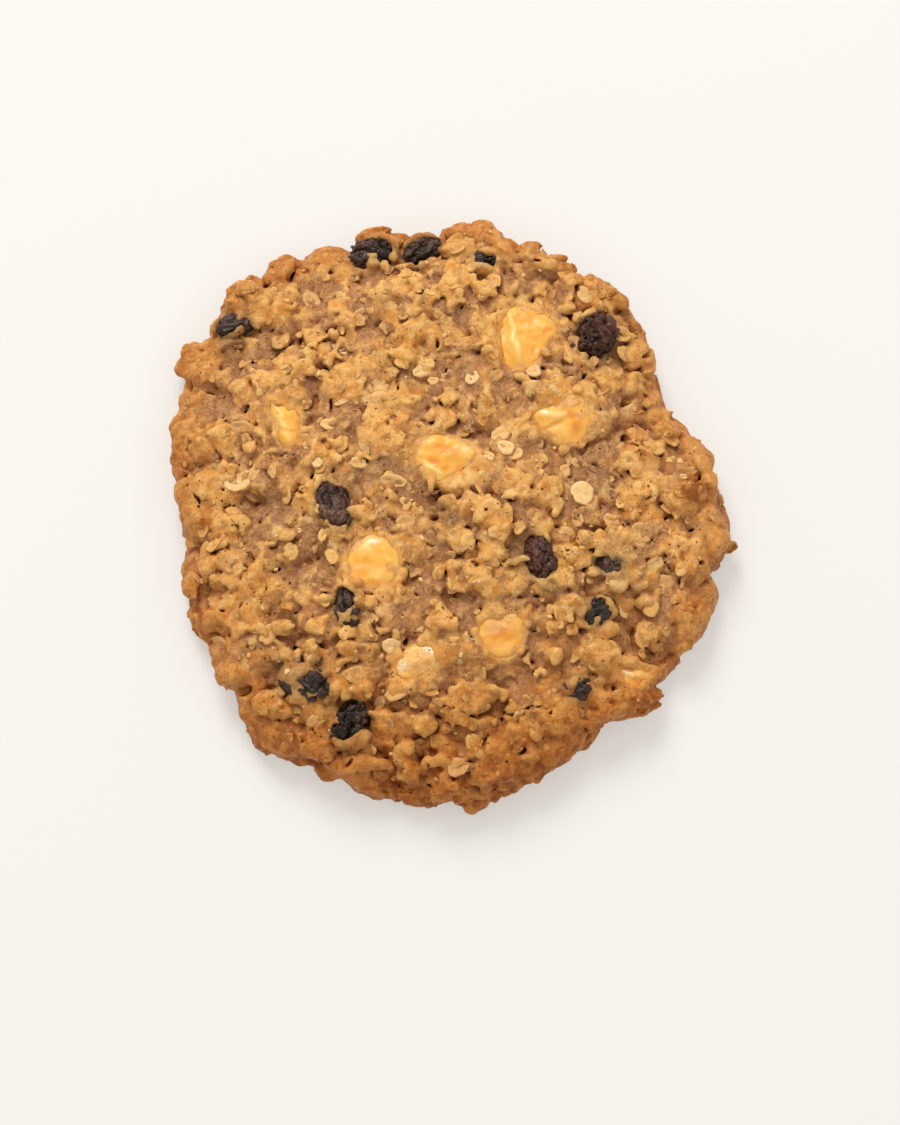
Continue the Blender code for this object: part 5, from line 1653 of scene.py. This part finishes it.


# Skin of each raisin: how black, how dusty (dust bloom on the ridges, also a painted
# sheen), how red, size of its crumples (mm), how deep they are.
RAISIN_SKINS = {
    "raisin_01": (0.95, 0.25, 0.0, 1.9, 1.00), "raisin_02": (0.60, 0.65, 0.0, 1.7, 0.95),
    "raisin_03": (1.00, 0.10, 0.0, 1.5, 0.80), "raisin_04": (0.70, 0.65, 0.0, 1.4, 0.80),
    "raisin_05": (0.45, 0.15, 1.0, 1.7, 1.15), "raisin_06": (0.15, 0.80, 0.3, 1.5, 0.65),
    "raisin_07": (0.25, 0.45, 1.0, 1.2, 0.85), "raisin_08": (0.45, 0.65, 0.1, 1.1, 0.75),
    "raisin_09": (0.95, 0.20, 0.0, 1.3, 0.80), "raisin_10": (0.80, 0.40, 0.0, 1.3, 0.80),
    "raisin_11": (0.95, 0.30, 0.0, 1.3, 0.95), "raisin_12": (1.00, 0.10, 0.1, 1.6, 1.20),
    "raisin_13": (0.80, 0.30, 0.0, 1.3, 0.80),
}


def make_raisin(name, index, mat):
    """A shrivelled fruit: crumpled all over into knobs with deep creases."""
    mid, axes, half = sunk_frame(name)
    black, dust_and_sheen, red, size, deep = RAISIN_SKINS[name]
    big = index in (1, 2, 5, 6, 7, 8, 11, 12)
    p, f = BALLS[6 if big else 5]
    half = half * np.array([1.03, 1.01, 0.98])
    blunt = np.sign(p) * np.abs(p) ** 0.92
    q = blunt * half
    seed = 300 + 17 * index
    q = q * (1 + 0.05 * pnoise(p * 3.0, 3.0, seed)[:, None])
    swirl = q + 0.28 * np.stack([pnoise(q, 1.4, seed + i) for i in (1, 2, 3)], 1)
    along = (swirl * np.array([0.62, 1.0, 1.0])).T
    h1, o1, c1 = packed(list(along), size, seed + 4, 0.18, 0.30, 0.8 * size, 34.0)
    h2, o2, c2 = packed(list(swirl.T), 0.48 * size, seed + 5, 0.09, 0.28, 0.55 * size, 34.0)
    nrm = p / half
    nrm /= np.linalg.norm(nrm, axis=1, keepdims=True)
    folds = np.exp(-(pnoise(swirl * np.array([0.5, 1.0, 1.0]), 2.1, seed + 6) / 0.22) ** 2)
    move = deep * (0.85 * h1 + 0.55 * h2 - 0.45 * folds + 0.16 * pnoise(q, 2.6, seed + 7)
                   + 0.05 * pnoise(q, 0.42, seed + 9) + 0.34)
    q = q + nrm * move[:, None]
    world = mid + q @ axes
    obj = mesh_from(name.replace("raisin", "plump_raisin"), world, f)
    fold = np.clip((c1 - 0.25) * 1.9, 0, 1) * 0.8 + np.clip((c2 - 0.3) * 1.3, 0, 1) * 0.35 + 0.7 * folds
    wide = pnoise(q, 2.2, seed + 8)
    put(obj.data, "fold", np.clip(fold, 0, 1))
    put(obj.data, "dust_and_sheen", np.clip(dust_and_sheen * (0.75 + 0.4 * wide + 0.25 * o1), 0, 1))
    put(obj.data, "red", np.clip(red * (0.7 + 0.35 * wide + 0.2 * o2), 0, 1))
    put(obj.data, "black", np.clip(black * (1.0 - 0.30 * wide), 0, 1))
    obj.data.materials.append(mat)
    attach(obj, "root")
    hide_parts(name)
    return obj


# --------------------------------------------------------------------------
# Chips
# --------------------------------------------------------------------------
# Marks on the face of each chip: kind, x, y from the chip's middle, length,
# width (mm), turn (degrees), strength, how far it stands up (mm).
# Of the pale kinds of mark, the whitest are painted highlights; the cream ones are the chip's paler colour with painted
# highlight on its ridges.
CHIP_MARKS = {
    "chip_01": [
        ("cream_and_highlight", -2.7, -0.2, 9.5, 1.4, -82, 1.0, 0.38), ("orange", -0.3, 3.4, 4.2, 2.8, 0, 0.35, 0),
        ("orange", 3.8, 1.4, 2.5, 1.2, 25, 0.9, -0.1), ("cream_and_highlight", 2.4, 2.7, 2.5, 1.4, 0, 0.45, 0.15),
        ("skin", 2.7, -2.2, 2.3, 2.7, 70, 0.95, 0.15), ("orange", 0.9, -1.8, 0.9, 1.6, 0, 0.8, -0.08),
        ("cream_and_highlight", 2.8, -2.5, 1.1, 2.1, 75, 0.7, 0.12), ("skin", -0.8, -5.1, 5.3, 1.8, 10, 0.6, 0),
        ("skin", 4.7, 3.6, 1.4, 3.5, 0, 0.6, 0),
    ],
    "chip_02": [
        ("painted_highlight", -3.4, 1, 1.4, 1.1, 0, 1.0, 0.15), ("cream_and_highlight", -2, 0.7, 4.6, 1.6, 0, 0.9, 0.25),
        ("orange", -1.7, -1.2, 3.9, 0.7, 20, 0.45, -0.3), ("cream_and_highlight", -0.3, -2.6, 3.9, 2.1, -20, 0.35, 0.18),
        ("orange", 1.2, 1, 3.5, 1.6, -35, 1.0, -0.05), ("orange", 2.8, -1.2, 2.5, 1.9, 60, 1.0, 0.12),
        ("skin", 3.5, 0.7, 1.6, 2.3, 60, 0.9, 0.2), ("skin", 1.8, 3.6, 6, 2.5, 10, 1.0, 0.15),
        ("orange", 2.5, 3.5, 3.5, 1.1, 10, 0.5, 0), ("skin", -4.3, -1, 1.4, 3.5, 60, 0.5, 0),
    ],
    "chip_03": [
        ("orange", 0.5, 1.1, 6, 1.6, -5, 0.75, -0.22), ("orange", -0.9, 0.9, 2.1, 0.9, -20, 0.5, 0.06),
        ("orange", 2.3, 0.9, 2.1, 0.9, 10, 0.5, 0.05), ("cream_and_highlight", -2.6, -2, 3.2, 0.9, -40, 1.0, 0.22),
        ("cream_and_highlight", -1.2, -3.3, 1.2, 1.4, 60, 1.0, 0.2), ("orange", -1.7, -1.1, 1.9, 1.2, -10, 1.0, -0.18),
        ("orange", 0.2, -2.4, 2.1, 1.1, 20, 0.7, 0), ("orange", 1.8, -2.2, 5.3, 1.2, 12, 0.5, 0),
        ("cream_and_highlight", 4.2, 1.1, 2.5, 2.5, 0, 0.5, 0.05), ("skin", 0.9, 3.7, 7, 1.1, 0, 0.35, 0),
    ],
    "chip_04": [
        ("cream_and_highlight", -0.5, 0.4, 3.9, 1.1, -60, 0.8, 0.2), ("cream_and_highlight", 0.6, -2.3, 2.5, 1.2, -60, 0.4, 0.12),
        ("orange", 0.1, -1.1, 4.2, 0.5, -15, 0.5, -0.16), ("skin", -1.4, 3.8, 3.5, 1.8, 0, 0.9, 0),
        ("orange", 1.7, -0.8, 1.1, 4.6, 10, 0.5, 0),
    ],
    "chip_05": [
        ("painted_highlight", -0.4, 3.6, 2.6, 1.4, 8, 1.0, 0.25), ("cream_and_highlight", -1.3, 2.1, 4.6, 1.8, 0, 0.35, 0.1),
        ("orange", -1.8, -0.8, 3.5, 3.9, 0, 0.30, 0), ("cream_and_highlight", 0.3, -2.4, 2.1, 1.6, -30, 0.5, 0.16),
        ("orange", -0.7, -3.9, 4.6, 1.2, 0, 0.7, 0), ("skin", 2.8, -1, 2.5, 4.2, 75, 0.85, 0.08),
        ("orange", 1.5, -0.3, 1.8, 1.4, 0, 0.4, -0.08), ("skin", -3.9, -3.4, 1.6, 2.5, 80, 0.9, 0.15),
    ],
    "chip_06": [
        ("skin", -0.5, 3.2, 8.4, 4.6, 0, 1.0, 0.12), ("painted_highlight", 2.1, 3, 1.1, 2.1, -70, 1.0, 0.22),
        ("skin", -0.1, 0.7, 7, 2.8, 5, 0.8, 0.05), ("orange", 0, -0.5, 4.6, 1.4, 5, 0.9, -0.05),
        ("cream_and_highlight", 0.4, 0.6, 1.4, 0.9, 0, 0.7, 0.12), ("orange", 2.1, -1, 2.1, 1.1, 0, 0.6, 0.05),
        ("cream_and_highlight", 0, -3.1, 6.3, 1.8, 0, 0.25, 0), ("orange", -0.8, -2.6, 7, 4.2, 0, 0.35, 0),
    ],
    "chip_07": [
        ("painted_highlight", -1.9, 0.7, 2.5, 1.4, 0, 0.8, 0.15), ("cream_and_highlight", -0.5, 0.4, 3.5, 1.4, 0, 0.6, 0.1),
        ("orange", 0.6, -0.8, 3.2, 1.4, 25, 0.8, 0), ("skin", -2.8, -0.6, 1.4, 2.5, 80, 0.7, 0),
        ("skin", 1.3, -0.1, 7.7, 3.5, 0, 0.55, 0),
    ],
    "chip_08": [
        ("skin", -0.4, -0.5, 10.5, 7.1, 0, 0.7, 0), ("painted_highlight", 0.8, 1.8, 2.6, 1.6, -15, 1.0, 0.22),
        ("painted_highlight", -3.2, -1.1, 2.1, 2.1, 60, 1.0, 0.22), ("cream_and_highlight", -0.8, 0.2, 5.3, 3.2, -30, 0.8, 0.1),
        ("cream_and_highlight", 1.8, 0, 2.1, 1.4, 0, 0.5, 0.05), ("orange", -1.3, -1.8, 1.4, 1.1, 0, 0.4, 0),
    ],
}


def chip_material():
    m = Nodes("pale_chip")
    toast, cream_and_highlight, painted_highlight, skin_ = m.attr("toast"), m.attr("cream_and_highlight"), m.attr("painted_highlight"), m.attr("skinned")
    soft = m.noise(1.8, 3.0, 0.55, (3, 3, 3))
    fine = m.noise(0.5, 4.0, 0.6, (1, 6, 3))
    base = m.mix(m.ramp(soft, 0.3, 0.7), srgb(243, 172, 60), srgb(248, 188, 82))
    tw = m.math("MULTIPLY", toast, m.ramp(fine, 0.2, 0.6, 0.65, 1.0))
    base = m.mix(m.math("MULTIPLY", tw, 0.85), base, srgb(230, 128, 26))
    # paler cream chocolate on the ridges, partly painted highlight
    base = m.mix(m.math("MULTIPLY", cream_and_highlight, m.ramp(soft, 0.25, 0.6, 0.6, 0.95)), base, srgb(254, 214, 130))
    # painted highlight: the whitest marks
    base = m.mix(painted_highlight, base, srgb(255, 240, 200))
    k1, k2, kd = m.chips(1.0, (5, 5, 1), 0.4)
    crumb = m.mix(m.ramp(k1, 0.2, 0.8), srgb(204, 144, 82), srgb(224, 168, 100))
    sw = m.ramp(m.math("ADD", skin_, m.math("MULTIPLY", m.math("SUBTRACT", fine, 0.5), 0.9)), 0.30, 0.75)
    base = m.mix(m.math("MULTIPLY", sw, 0.85), base, crumb)
    d1, d2, dd = m.chips(1.5, (7, 2, 2), 0.3)
    dots = m.math("LESS_THAN", dd, m.ramp(d1, 0.72, 1.0, 0.0, 0.16, smooth=False))
    base = m.mix(m.math("MULTIPLY", dots, 0.85), base, srgb(120, 60, 22))
    m.link(base, m.p.inputs["Base Color"])
    rough = m.math("ADD", m.ramp(fine, 0.3, 0.7, 0.30, 0.44), m.math("MULTIPLY", sw, 0.25))
    m.link(m.math("SUBTRACT", rough, m.math("MULTIPLY", painted_highlight, 0.12)), m.p.inputs["Roughness"])
    m.p.inputs["Specular IOR Level"].default_value = 0.5
    m.p.inputs["Subsurface Weight"].default_value = 0.30
    m.p.inputs["Subsurface Radius"].default_value = (1.0, 0.6, 0.25)
    m.p.inputs["Subsurface Scale"].default_value = 0.0016
    rise = m.math("ADD", m.math("MULTIPLY", fine, 0.8), soft)
    rise = m.math("ADD", rise, m.math("MULTIPLY", m.math("MULTIPLY", sw, kd), -1.2))
    n = m.bump(rise, 0.40, 0.16)
    m.link(n, m.p.inputs["Normal"])
    return m.mat


def make_chip(name, index, mat):
    """A melted chip: a pad with the outline of its opening, marked by soft
    ridges and dimples, its edge slipping under the crust."""
    mid = SET[name][0]
    cx, cy, z0, sx, sy = PLANES[name]
    outline = [np.array(points, float) + mid[:2] for who, *points in OPENINGS if who == name][0]
    seg, rings = 120, 34
    ang = np.arange(seg) * 2 * math.pi / seg
    # reach of the outline in each direction, rounded off
    reach = np.zeros(seg)
    for a, b in zip(outline, np.roll(outline, -1, 0)):
        e = b - a
        for i, t in enumerate(ang):
            d = np.array([math.cos(t), math.sin(t)])
            den = d[0] * e[1] - d[1] * e[0]
            if abs(den) < 1e-9:
                continue
            w = a - (cx, cy)
            s = (w[0] * e[1] - w[1] * e[0]) / den
            u = (w[0] * d[1] - w[1] * d[0]) / den
            if s > 0 and -1e-6 <= u <= 1 + 1e-6:
                reach[i] = max(reach[i], s)
    reach = np.maximum(reach, 0.5)
    for _ in range(3):
        reach = 0.25 * np.roll(reach, 1) + 0.5 * reach + 0.25 * np.roll(reach, -1)
    seed = 700 + 13 * index
    lip = 0.55
    levels = [k / (rings - 6) for k in range(1, rings - 5)]
    rows, flat = [np.array([[cx, cy]])], [np.array([-9.0])]
    for r in levels:
        rows.append(np.c_[cx + r * reach * np.cos(ang), cy + r * reach * np.sin(ang)])
        flat.append((r - 1) * reach)
    for k in range(1, 4):
        e = reach + lip * k / 3
        rows.append(np.c_[cx + e * np.cos(ang), cy + e * np.sin(ang)])
        flat.append(np.full(seg, lip * k / 3))
    xy, sd = np.concatenate(rows), np.concatenate(flat)
    sd[0] = -reach.mean()
    share = np.clip(1 + sd / reach.mean(), 0, 1)
    wob = np.c_[xy, np.zeros(len(xy))]
    shift = 0.28 * np.stack([pnoise(wob, 1.8, seed + 1), pnoise(wob, 1.8, seed + 2)], 1)
    facts = {k: np.zeros(len(xy)) for k in ("cream_and_highlight", "painted_highlight", "orange", "skin")}
    lift = np.zeros(len(xy))
    for kind, x, y, length, width, turn, amount, up in CHIP_MARKS[name]:
        t = math.radians(turn)
        dx, dy = xy[:, 0] + shift[:, 0] - mid[0] - x, xy[:, 1] + shift[:, 1] - mid[1] - y
        u = (dx * math.cos(t) + dy * math.sin(t)) / (length / 2)
        v = (dy * math.cos(t) - dx * math.sin(t)) / (width / 2)
        a = np.exp(-(u * u + v * v) ** 1.3 * 0.8)
        facts[kind] = np.maximum(facts[kind], a * amount)
        lift += up * a
    soft_edge = np.clip(sd / 0.9 + 1, 0, 1)
    z = z0 + sx * (xy[:, 0] - cx) + sy * (xy[:, 1] - cy) - 0.02 + 0.62 * (1 - share ** 1.8)
    z += (lift + 0.09 * pnoise(wob, 1.5, seed + 3) + 0.05 * pnoise(wob, 0.7, seed + 4)) * (1 - 0.5 * soft_edge)
    z += facts["skin"] * (0.10 * pnoise(wob, 0.8, seed + 5) + 0.05 * pnoise(wob, 0.4, seed + 6))
    z -= 0.9 * np.maximum(sd, 0) ** 1.3
    # rounded back, inside the dough
    deep = z0 - 2.3
    base_rows = []
    last = len(xy) - seg
    for k, (grow, drop) in enumerate(((1.0, 0.45), (0.86, 0.8), (0.5, 0.97))):
        ring = np.c_[cx + grow * (reach + lip) * np.cos(ang), cy + grow * (reach + lip) * np.sin(ang)]
        base_rows.append(np.c_[ring, z[last:] * (1 - drop) + deep * drop])
    verts = np.concatenate([np.c_[xy, z]] + base_rows + [np.array([[cx, cy, deep]])])
    n_rings = (len(verts) - 2) // seg
    faces = []
    for s in range(seg):
        t = (s + 1) % seg
        faces.append((0, 1 + s, 1 + t))
        for k in range(n_rings - 1):
            a, b = 1 + k * seg, 1 + (k + 1) * seg
            faces += [(a + s, b + s, b + t), (a + s, b + t, a + t)]
        a = 1 + (n_rings - 1) * seg
        faces.append((len(verts) - 1, a + t, a + s))
    obj = mesh_from(name.replace("chip", "melted_chip"), verts, np.array(faces))
    tail = len(verts) - len(xy)
    edge = np.clip(sd / 1.2 + 1.0 + 0.30 * pnoise(wob, 1.3, seed + 8), 0, 1)
    facts["skin"] = np.maximum(facts["skin"], 0.80 * edge ** 1.5)
    for key, out in (("orange", "toast"), ("cream_and_highlight", "cream_and_highlight"), ("painted_highlight", "painted_highlight"), ("skin", "skinned")):
        put(obj.data, out, np.clip(np.r_[facts[key], np.zeros(tail)], 0, 1))
    obj.data.materials.append(mat)
    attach(obj, "root")
    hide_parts(name)
    return obj


raisin_skin = raisin_material()
for number, node in enumerate(RAISINS, 1):
    make_raisin(node, number, raisin_skin)
chip_wax = chip_material()
for number, node in enumerate(CHIPS, 1):
    make_chip(node, number, chip_wax)


# --------------------------------------------------------------------------
# Bare oat flakes and crumbs
# --------------------------------------------------------------------------
def finish_bits(parts, name, mat):
    obj, facts = gather(parts, name)
    for key, value in zip(("tone", "edge", "shade"), facts):
        put(obj.data, key, value)
    obj.data.materials.append(mat)
    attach(obj, "root")
    return obj


def oat_material():
    m = Nodes("oat_flake")
    tone, edge, shade = m.attr("tone"), m.attr("edge"), m.attr("shade")
    streak = m.noise(0.7, 4.0, 0.6, (1, 2, 3))
    base = m.mix(m.ramp(tone, 0.0, 0.55), srgb(206, 148, 84), srgb(236, 184, 112))
    base = m.mix(m.ramp(tone, 0.55, 1.0), base, srgb(238, 198, 134))
    base = m.mix(m.math("MULTIPLY", m.ramp(streak, 0.45, 0.7), 0.55), base, srgb(214, 158, 92))
    base = m.mix(m.math("MULTIPLY", edge, 0.30), base, srgb(248, 218, 166))
    base = m.mix(m.math("MULTIPLY", shade, 0.9), base, srgb(190, 118, 56))
    dots = m.cells(0.9, (4, 2, 8))
    pick = m.new("ShaderNodeSeparateColor")
    m.link(m.cells(0.9, (4, 2, 8), out="Color"), pick.inputs[0])
    size = m.ramp(pick.outputs[0], 0.75, 1.0, 0.0, 0.16, smooth=False)
    base = m.mix(m.math("MULTIPLY", m.math("LESS_THAN", dots, size), 0.7), base, srgb(120, 64, 28))
    m.link(base, m.p.inputs["Base Color"])
    m.link(m.ramp(streak, 0.3, 0.7, 0.42, 0.66), m.p.inputs["Roughness"])
    m.p.inputs["Specular IOR Level"].default_value = 0.4
    m.p.inputs["Subsurface Weight"].default_value = 0.15
    m.p.inputs["Subsurface Radius"].default_value = (1.0, 0.55, 0.25)
    m.p.inputs["Subsurface Scale"].default_value = 0.0012
    m.link(m.bump(m.noise(0.35, 3.0, 0.6, (5, 5, 5)), 0.4, 0.08), m.p.inputs["Normal"])
    return m.mat


def make_flakes(mat):
    parts = []
    seed = 1000
    for kind, x, y, length, width, turn, proud, tone in FEATURES:
        if kind != "oat":
            continue
        seed += 1
        v, f = flake_mesh(length, width, 0.62, seed)
        n = base_normal(np.array([x, y, top_of(x, y)]))
        axes = turned(n, math.radians(turn), rng.uniform(0, 6.28), rng.uniform(0.05, 0.22))
        z = grid_top(x, y)
        rho = np.hypot(v[:, 0] / length * 2, v[:, 1] / width * 2)
        w = np.array([x, y, z - 0.12 + 0.2 * (proud - 0.4)]) + v @ axes
        t = {GOLD: 0.25, YELLOW: 0.42, CREAM: 0.85}.get(tone, 0.3)
        parts.append((w, f, t, np.clip((rho - 0.8) * 5, 0, 1), 0.0))
    pts = skin_points()
    for p in spread(pts, 9.0, 60, clear_of):
        seed += 1
        length = rng.uniform(2.4, 4.4)
        width = length * rng.uniform(0.62, 0.85)
        v, f = flake_mesh(length, width, rng.uniform(0.45, 0.65), seed)
        n = base_normal(p)
        if n[2] < 0.8 or math.hypot(p[0], p[1]) > 0.88 * float(rim_radius(p[0], p[1])):
            continue
        axes = turned(n, rng.uniform(0, 6.28), rng.uniform(0, 6.28), rng.uniform(0.15, 0.6))
        if n[2] > 0.5:
            c = np.array([p[0], p[1], grid_top(p[0], p[1])]) - n * rng.uniform(0.05, 0.55)
        else:
            c = p + n * rng.uniform(0.1, 0.4)
        w = c + v @ axes
        w = w if w[:, 2].min() > 0.2 else w + np.array([0, 0, 0.2 - w[:, 2].min()])
        rho = np.hypot(v[:, 0] / length * 2, v[:, 1] / width * 2)
        share = math.hypot(p[0], p[1]) / float(rim_radius(p[0], p[1]))
        brown = np.clip((share - 0.8) * 3 + rng.normal(0, 0.2), 0, 0.9)
        parts.append((w, f, rng.beta(1.4, 5.0), np.clip((rho - 0.8) * 5, 0, 1) * 0.6, brown))
    return finish_bits(parts, "oat_flakes", mat)


def make_crumbs(mat):
    parts = []
    p0, f0 = BALLS[2]
    pts = skin_points()
    for k, p in enumerate(spread(pts, 4.4, 200, ())):
        n = base_normal(p)
        if n[2] < 0.3:
            continue
        s = rng.uniform(0.18, 0.45)
        v = p0 * np.array([s * rng.uniform(0.9, 1.7), s, s * rng.uniform(0.5, 0.9)])
        v = v * (1 + 0.16 * pnoise(p0 * 2 + k, 1.3, 9)[:, None])
        axes = turned(n, rng.uniform(0, 6.28), rng.uniform(0, 6.28), rng.uniform(0, 0.6))
        if n[2] > 0.5:
            c = np.array([p[0], p[1], grid_top(p[0], p[1])]) + n * s * 0.1
        else:
            c = p + n * rng.uniform(0.2, 0.5)
        w = c + v @ axes
        share = math.hypot(p[0], p[1]) / float(rim_radius(p[0], p[1]))
        brown = np.clip((share - 0.75) * 3 + rng.normal(0, 0.25), 0, 1)
        tone = rng.beta(1.8, 2.6) if rng.random() < 0.9 else rng.uniform(0.7, 1.0)
        parts.append((w, f0, tone, 0.0, brown))
    return finish_bits(parts, "crumbs", mat)


oat_skin = oat_material()
make_flakes(oat_skin)
make_crumbs(oat_skin)


# --------------------------------------------------------------------------
# Floor, light, camera
# --------------------------------------------------------------------------
def floor_material():
    m = Nodes("pale_floor")
    f = m.noise(60.0, 2.0, 0.5)
    m.link(m.mix(f, srgb(183, 181, 178), srgb(182, 180, 176)), m.p.inputs["Base Color"])
    m.p.inputs["Emission Color"].default_value = (1.0, 0.965, 0.90, 1.0)
    m.p.inputs["Emission Strength"].default_value = 0.41
    m.p.inputs["Roughness"].default_value = 0.75
    m.p.inputs["Specular IOR Level"].default_value = 0.2
    return m.mat


def make_stage():
    bm = bmesh.new()
    bmesh.ops.create_circle(bm, cap_ends=True, segments=96, radius=1.6)
    me = bpy.data.meshes.new("floor")
    bm.to_mesh(me)
    bm.free()
    floor = bpy.data.objects.new("floor", me)
    floor.location = (0.0, 0.0, -0.00002)
    bpy.context.scene.collection.objects.link(floor)
    me.materials.append(floor_material())

    world = bpy.data.worlds.new("studio")
    world.use_nodes = True
    bg = world.node_tree.nodes["Background"]
    bg.inputs["Color"].default_value = (1.0, 0.99, 0.975, 1.0)
    bg.inputs["Strength"].default_value = 0.66
    bpy.context.scene.world = world

    def area(name, place, aim, size, power, colour):
        light = bpy.data.lights.new(name, "AREA")
        light.shape = "DISK"
        light.size = size
        light.energy = power
        light.color = colour
        obj = bpy.data.objects.new(name, light)
        obj.location = place
        obj.rotation_euler = (Vector(aim) - Vector(place)).to_track_quat("-Z", "Y").to_euler()
        bpy.context.scene.collection.objects.link(obj)

    area("key", (-0.30, 0.97, 1.04), (0, 0, 0), 0.75, 14.2, (1.0, 0.985, 0.96))
    area("fill", (0.45, -0.30, 0.75), (0, 0, 0), 0.7, 0.35, (1.0, 0.99, 0.98))

    cam = bpy.data.cameras.new("view")
    cam.lens = 90.0
    cam.sensor_fit = "VERTICAL"
    cam.sensor_height = 36.0
    cam.sensor_width = 36.0
    cam.clip_start, cam.clip_end = 0.01, 10.0
    obj = bpy.data.objects.new("view", cam)
    elevation = math.radians(78.0)
    aim = Vector((0.0001, -0.0103, 0.005))
    back = Vector((0.0, -math.cos(elevation), math.sin(elevation)))
    obj.location = aim + back * 0.502
    obj.rotation_euler = (-back).to_track_quat("-Z", "Y").to_euler()
    bpy.context.scene.collection.objects.link(obj)
    bpy.context.scene.camera = obj


make_stage()
bpy.context.scene.view_settings.view_transform = "Standard"
bpy.context.scene.view_settings.look = "None"
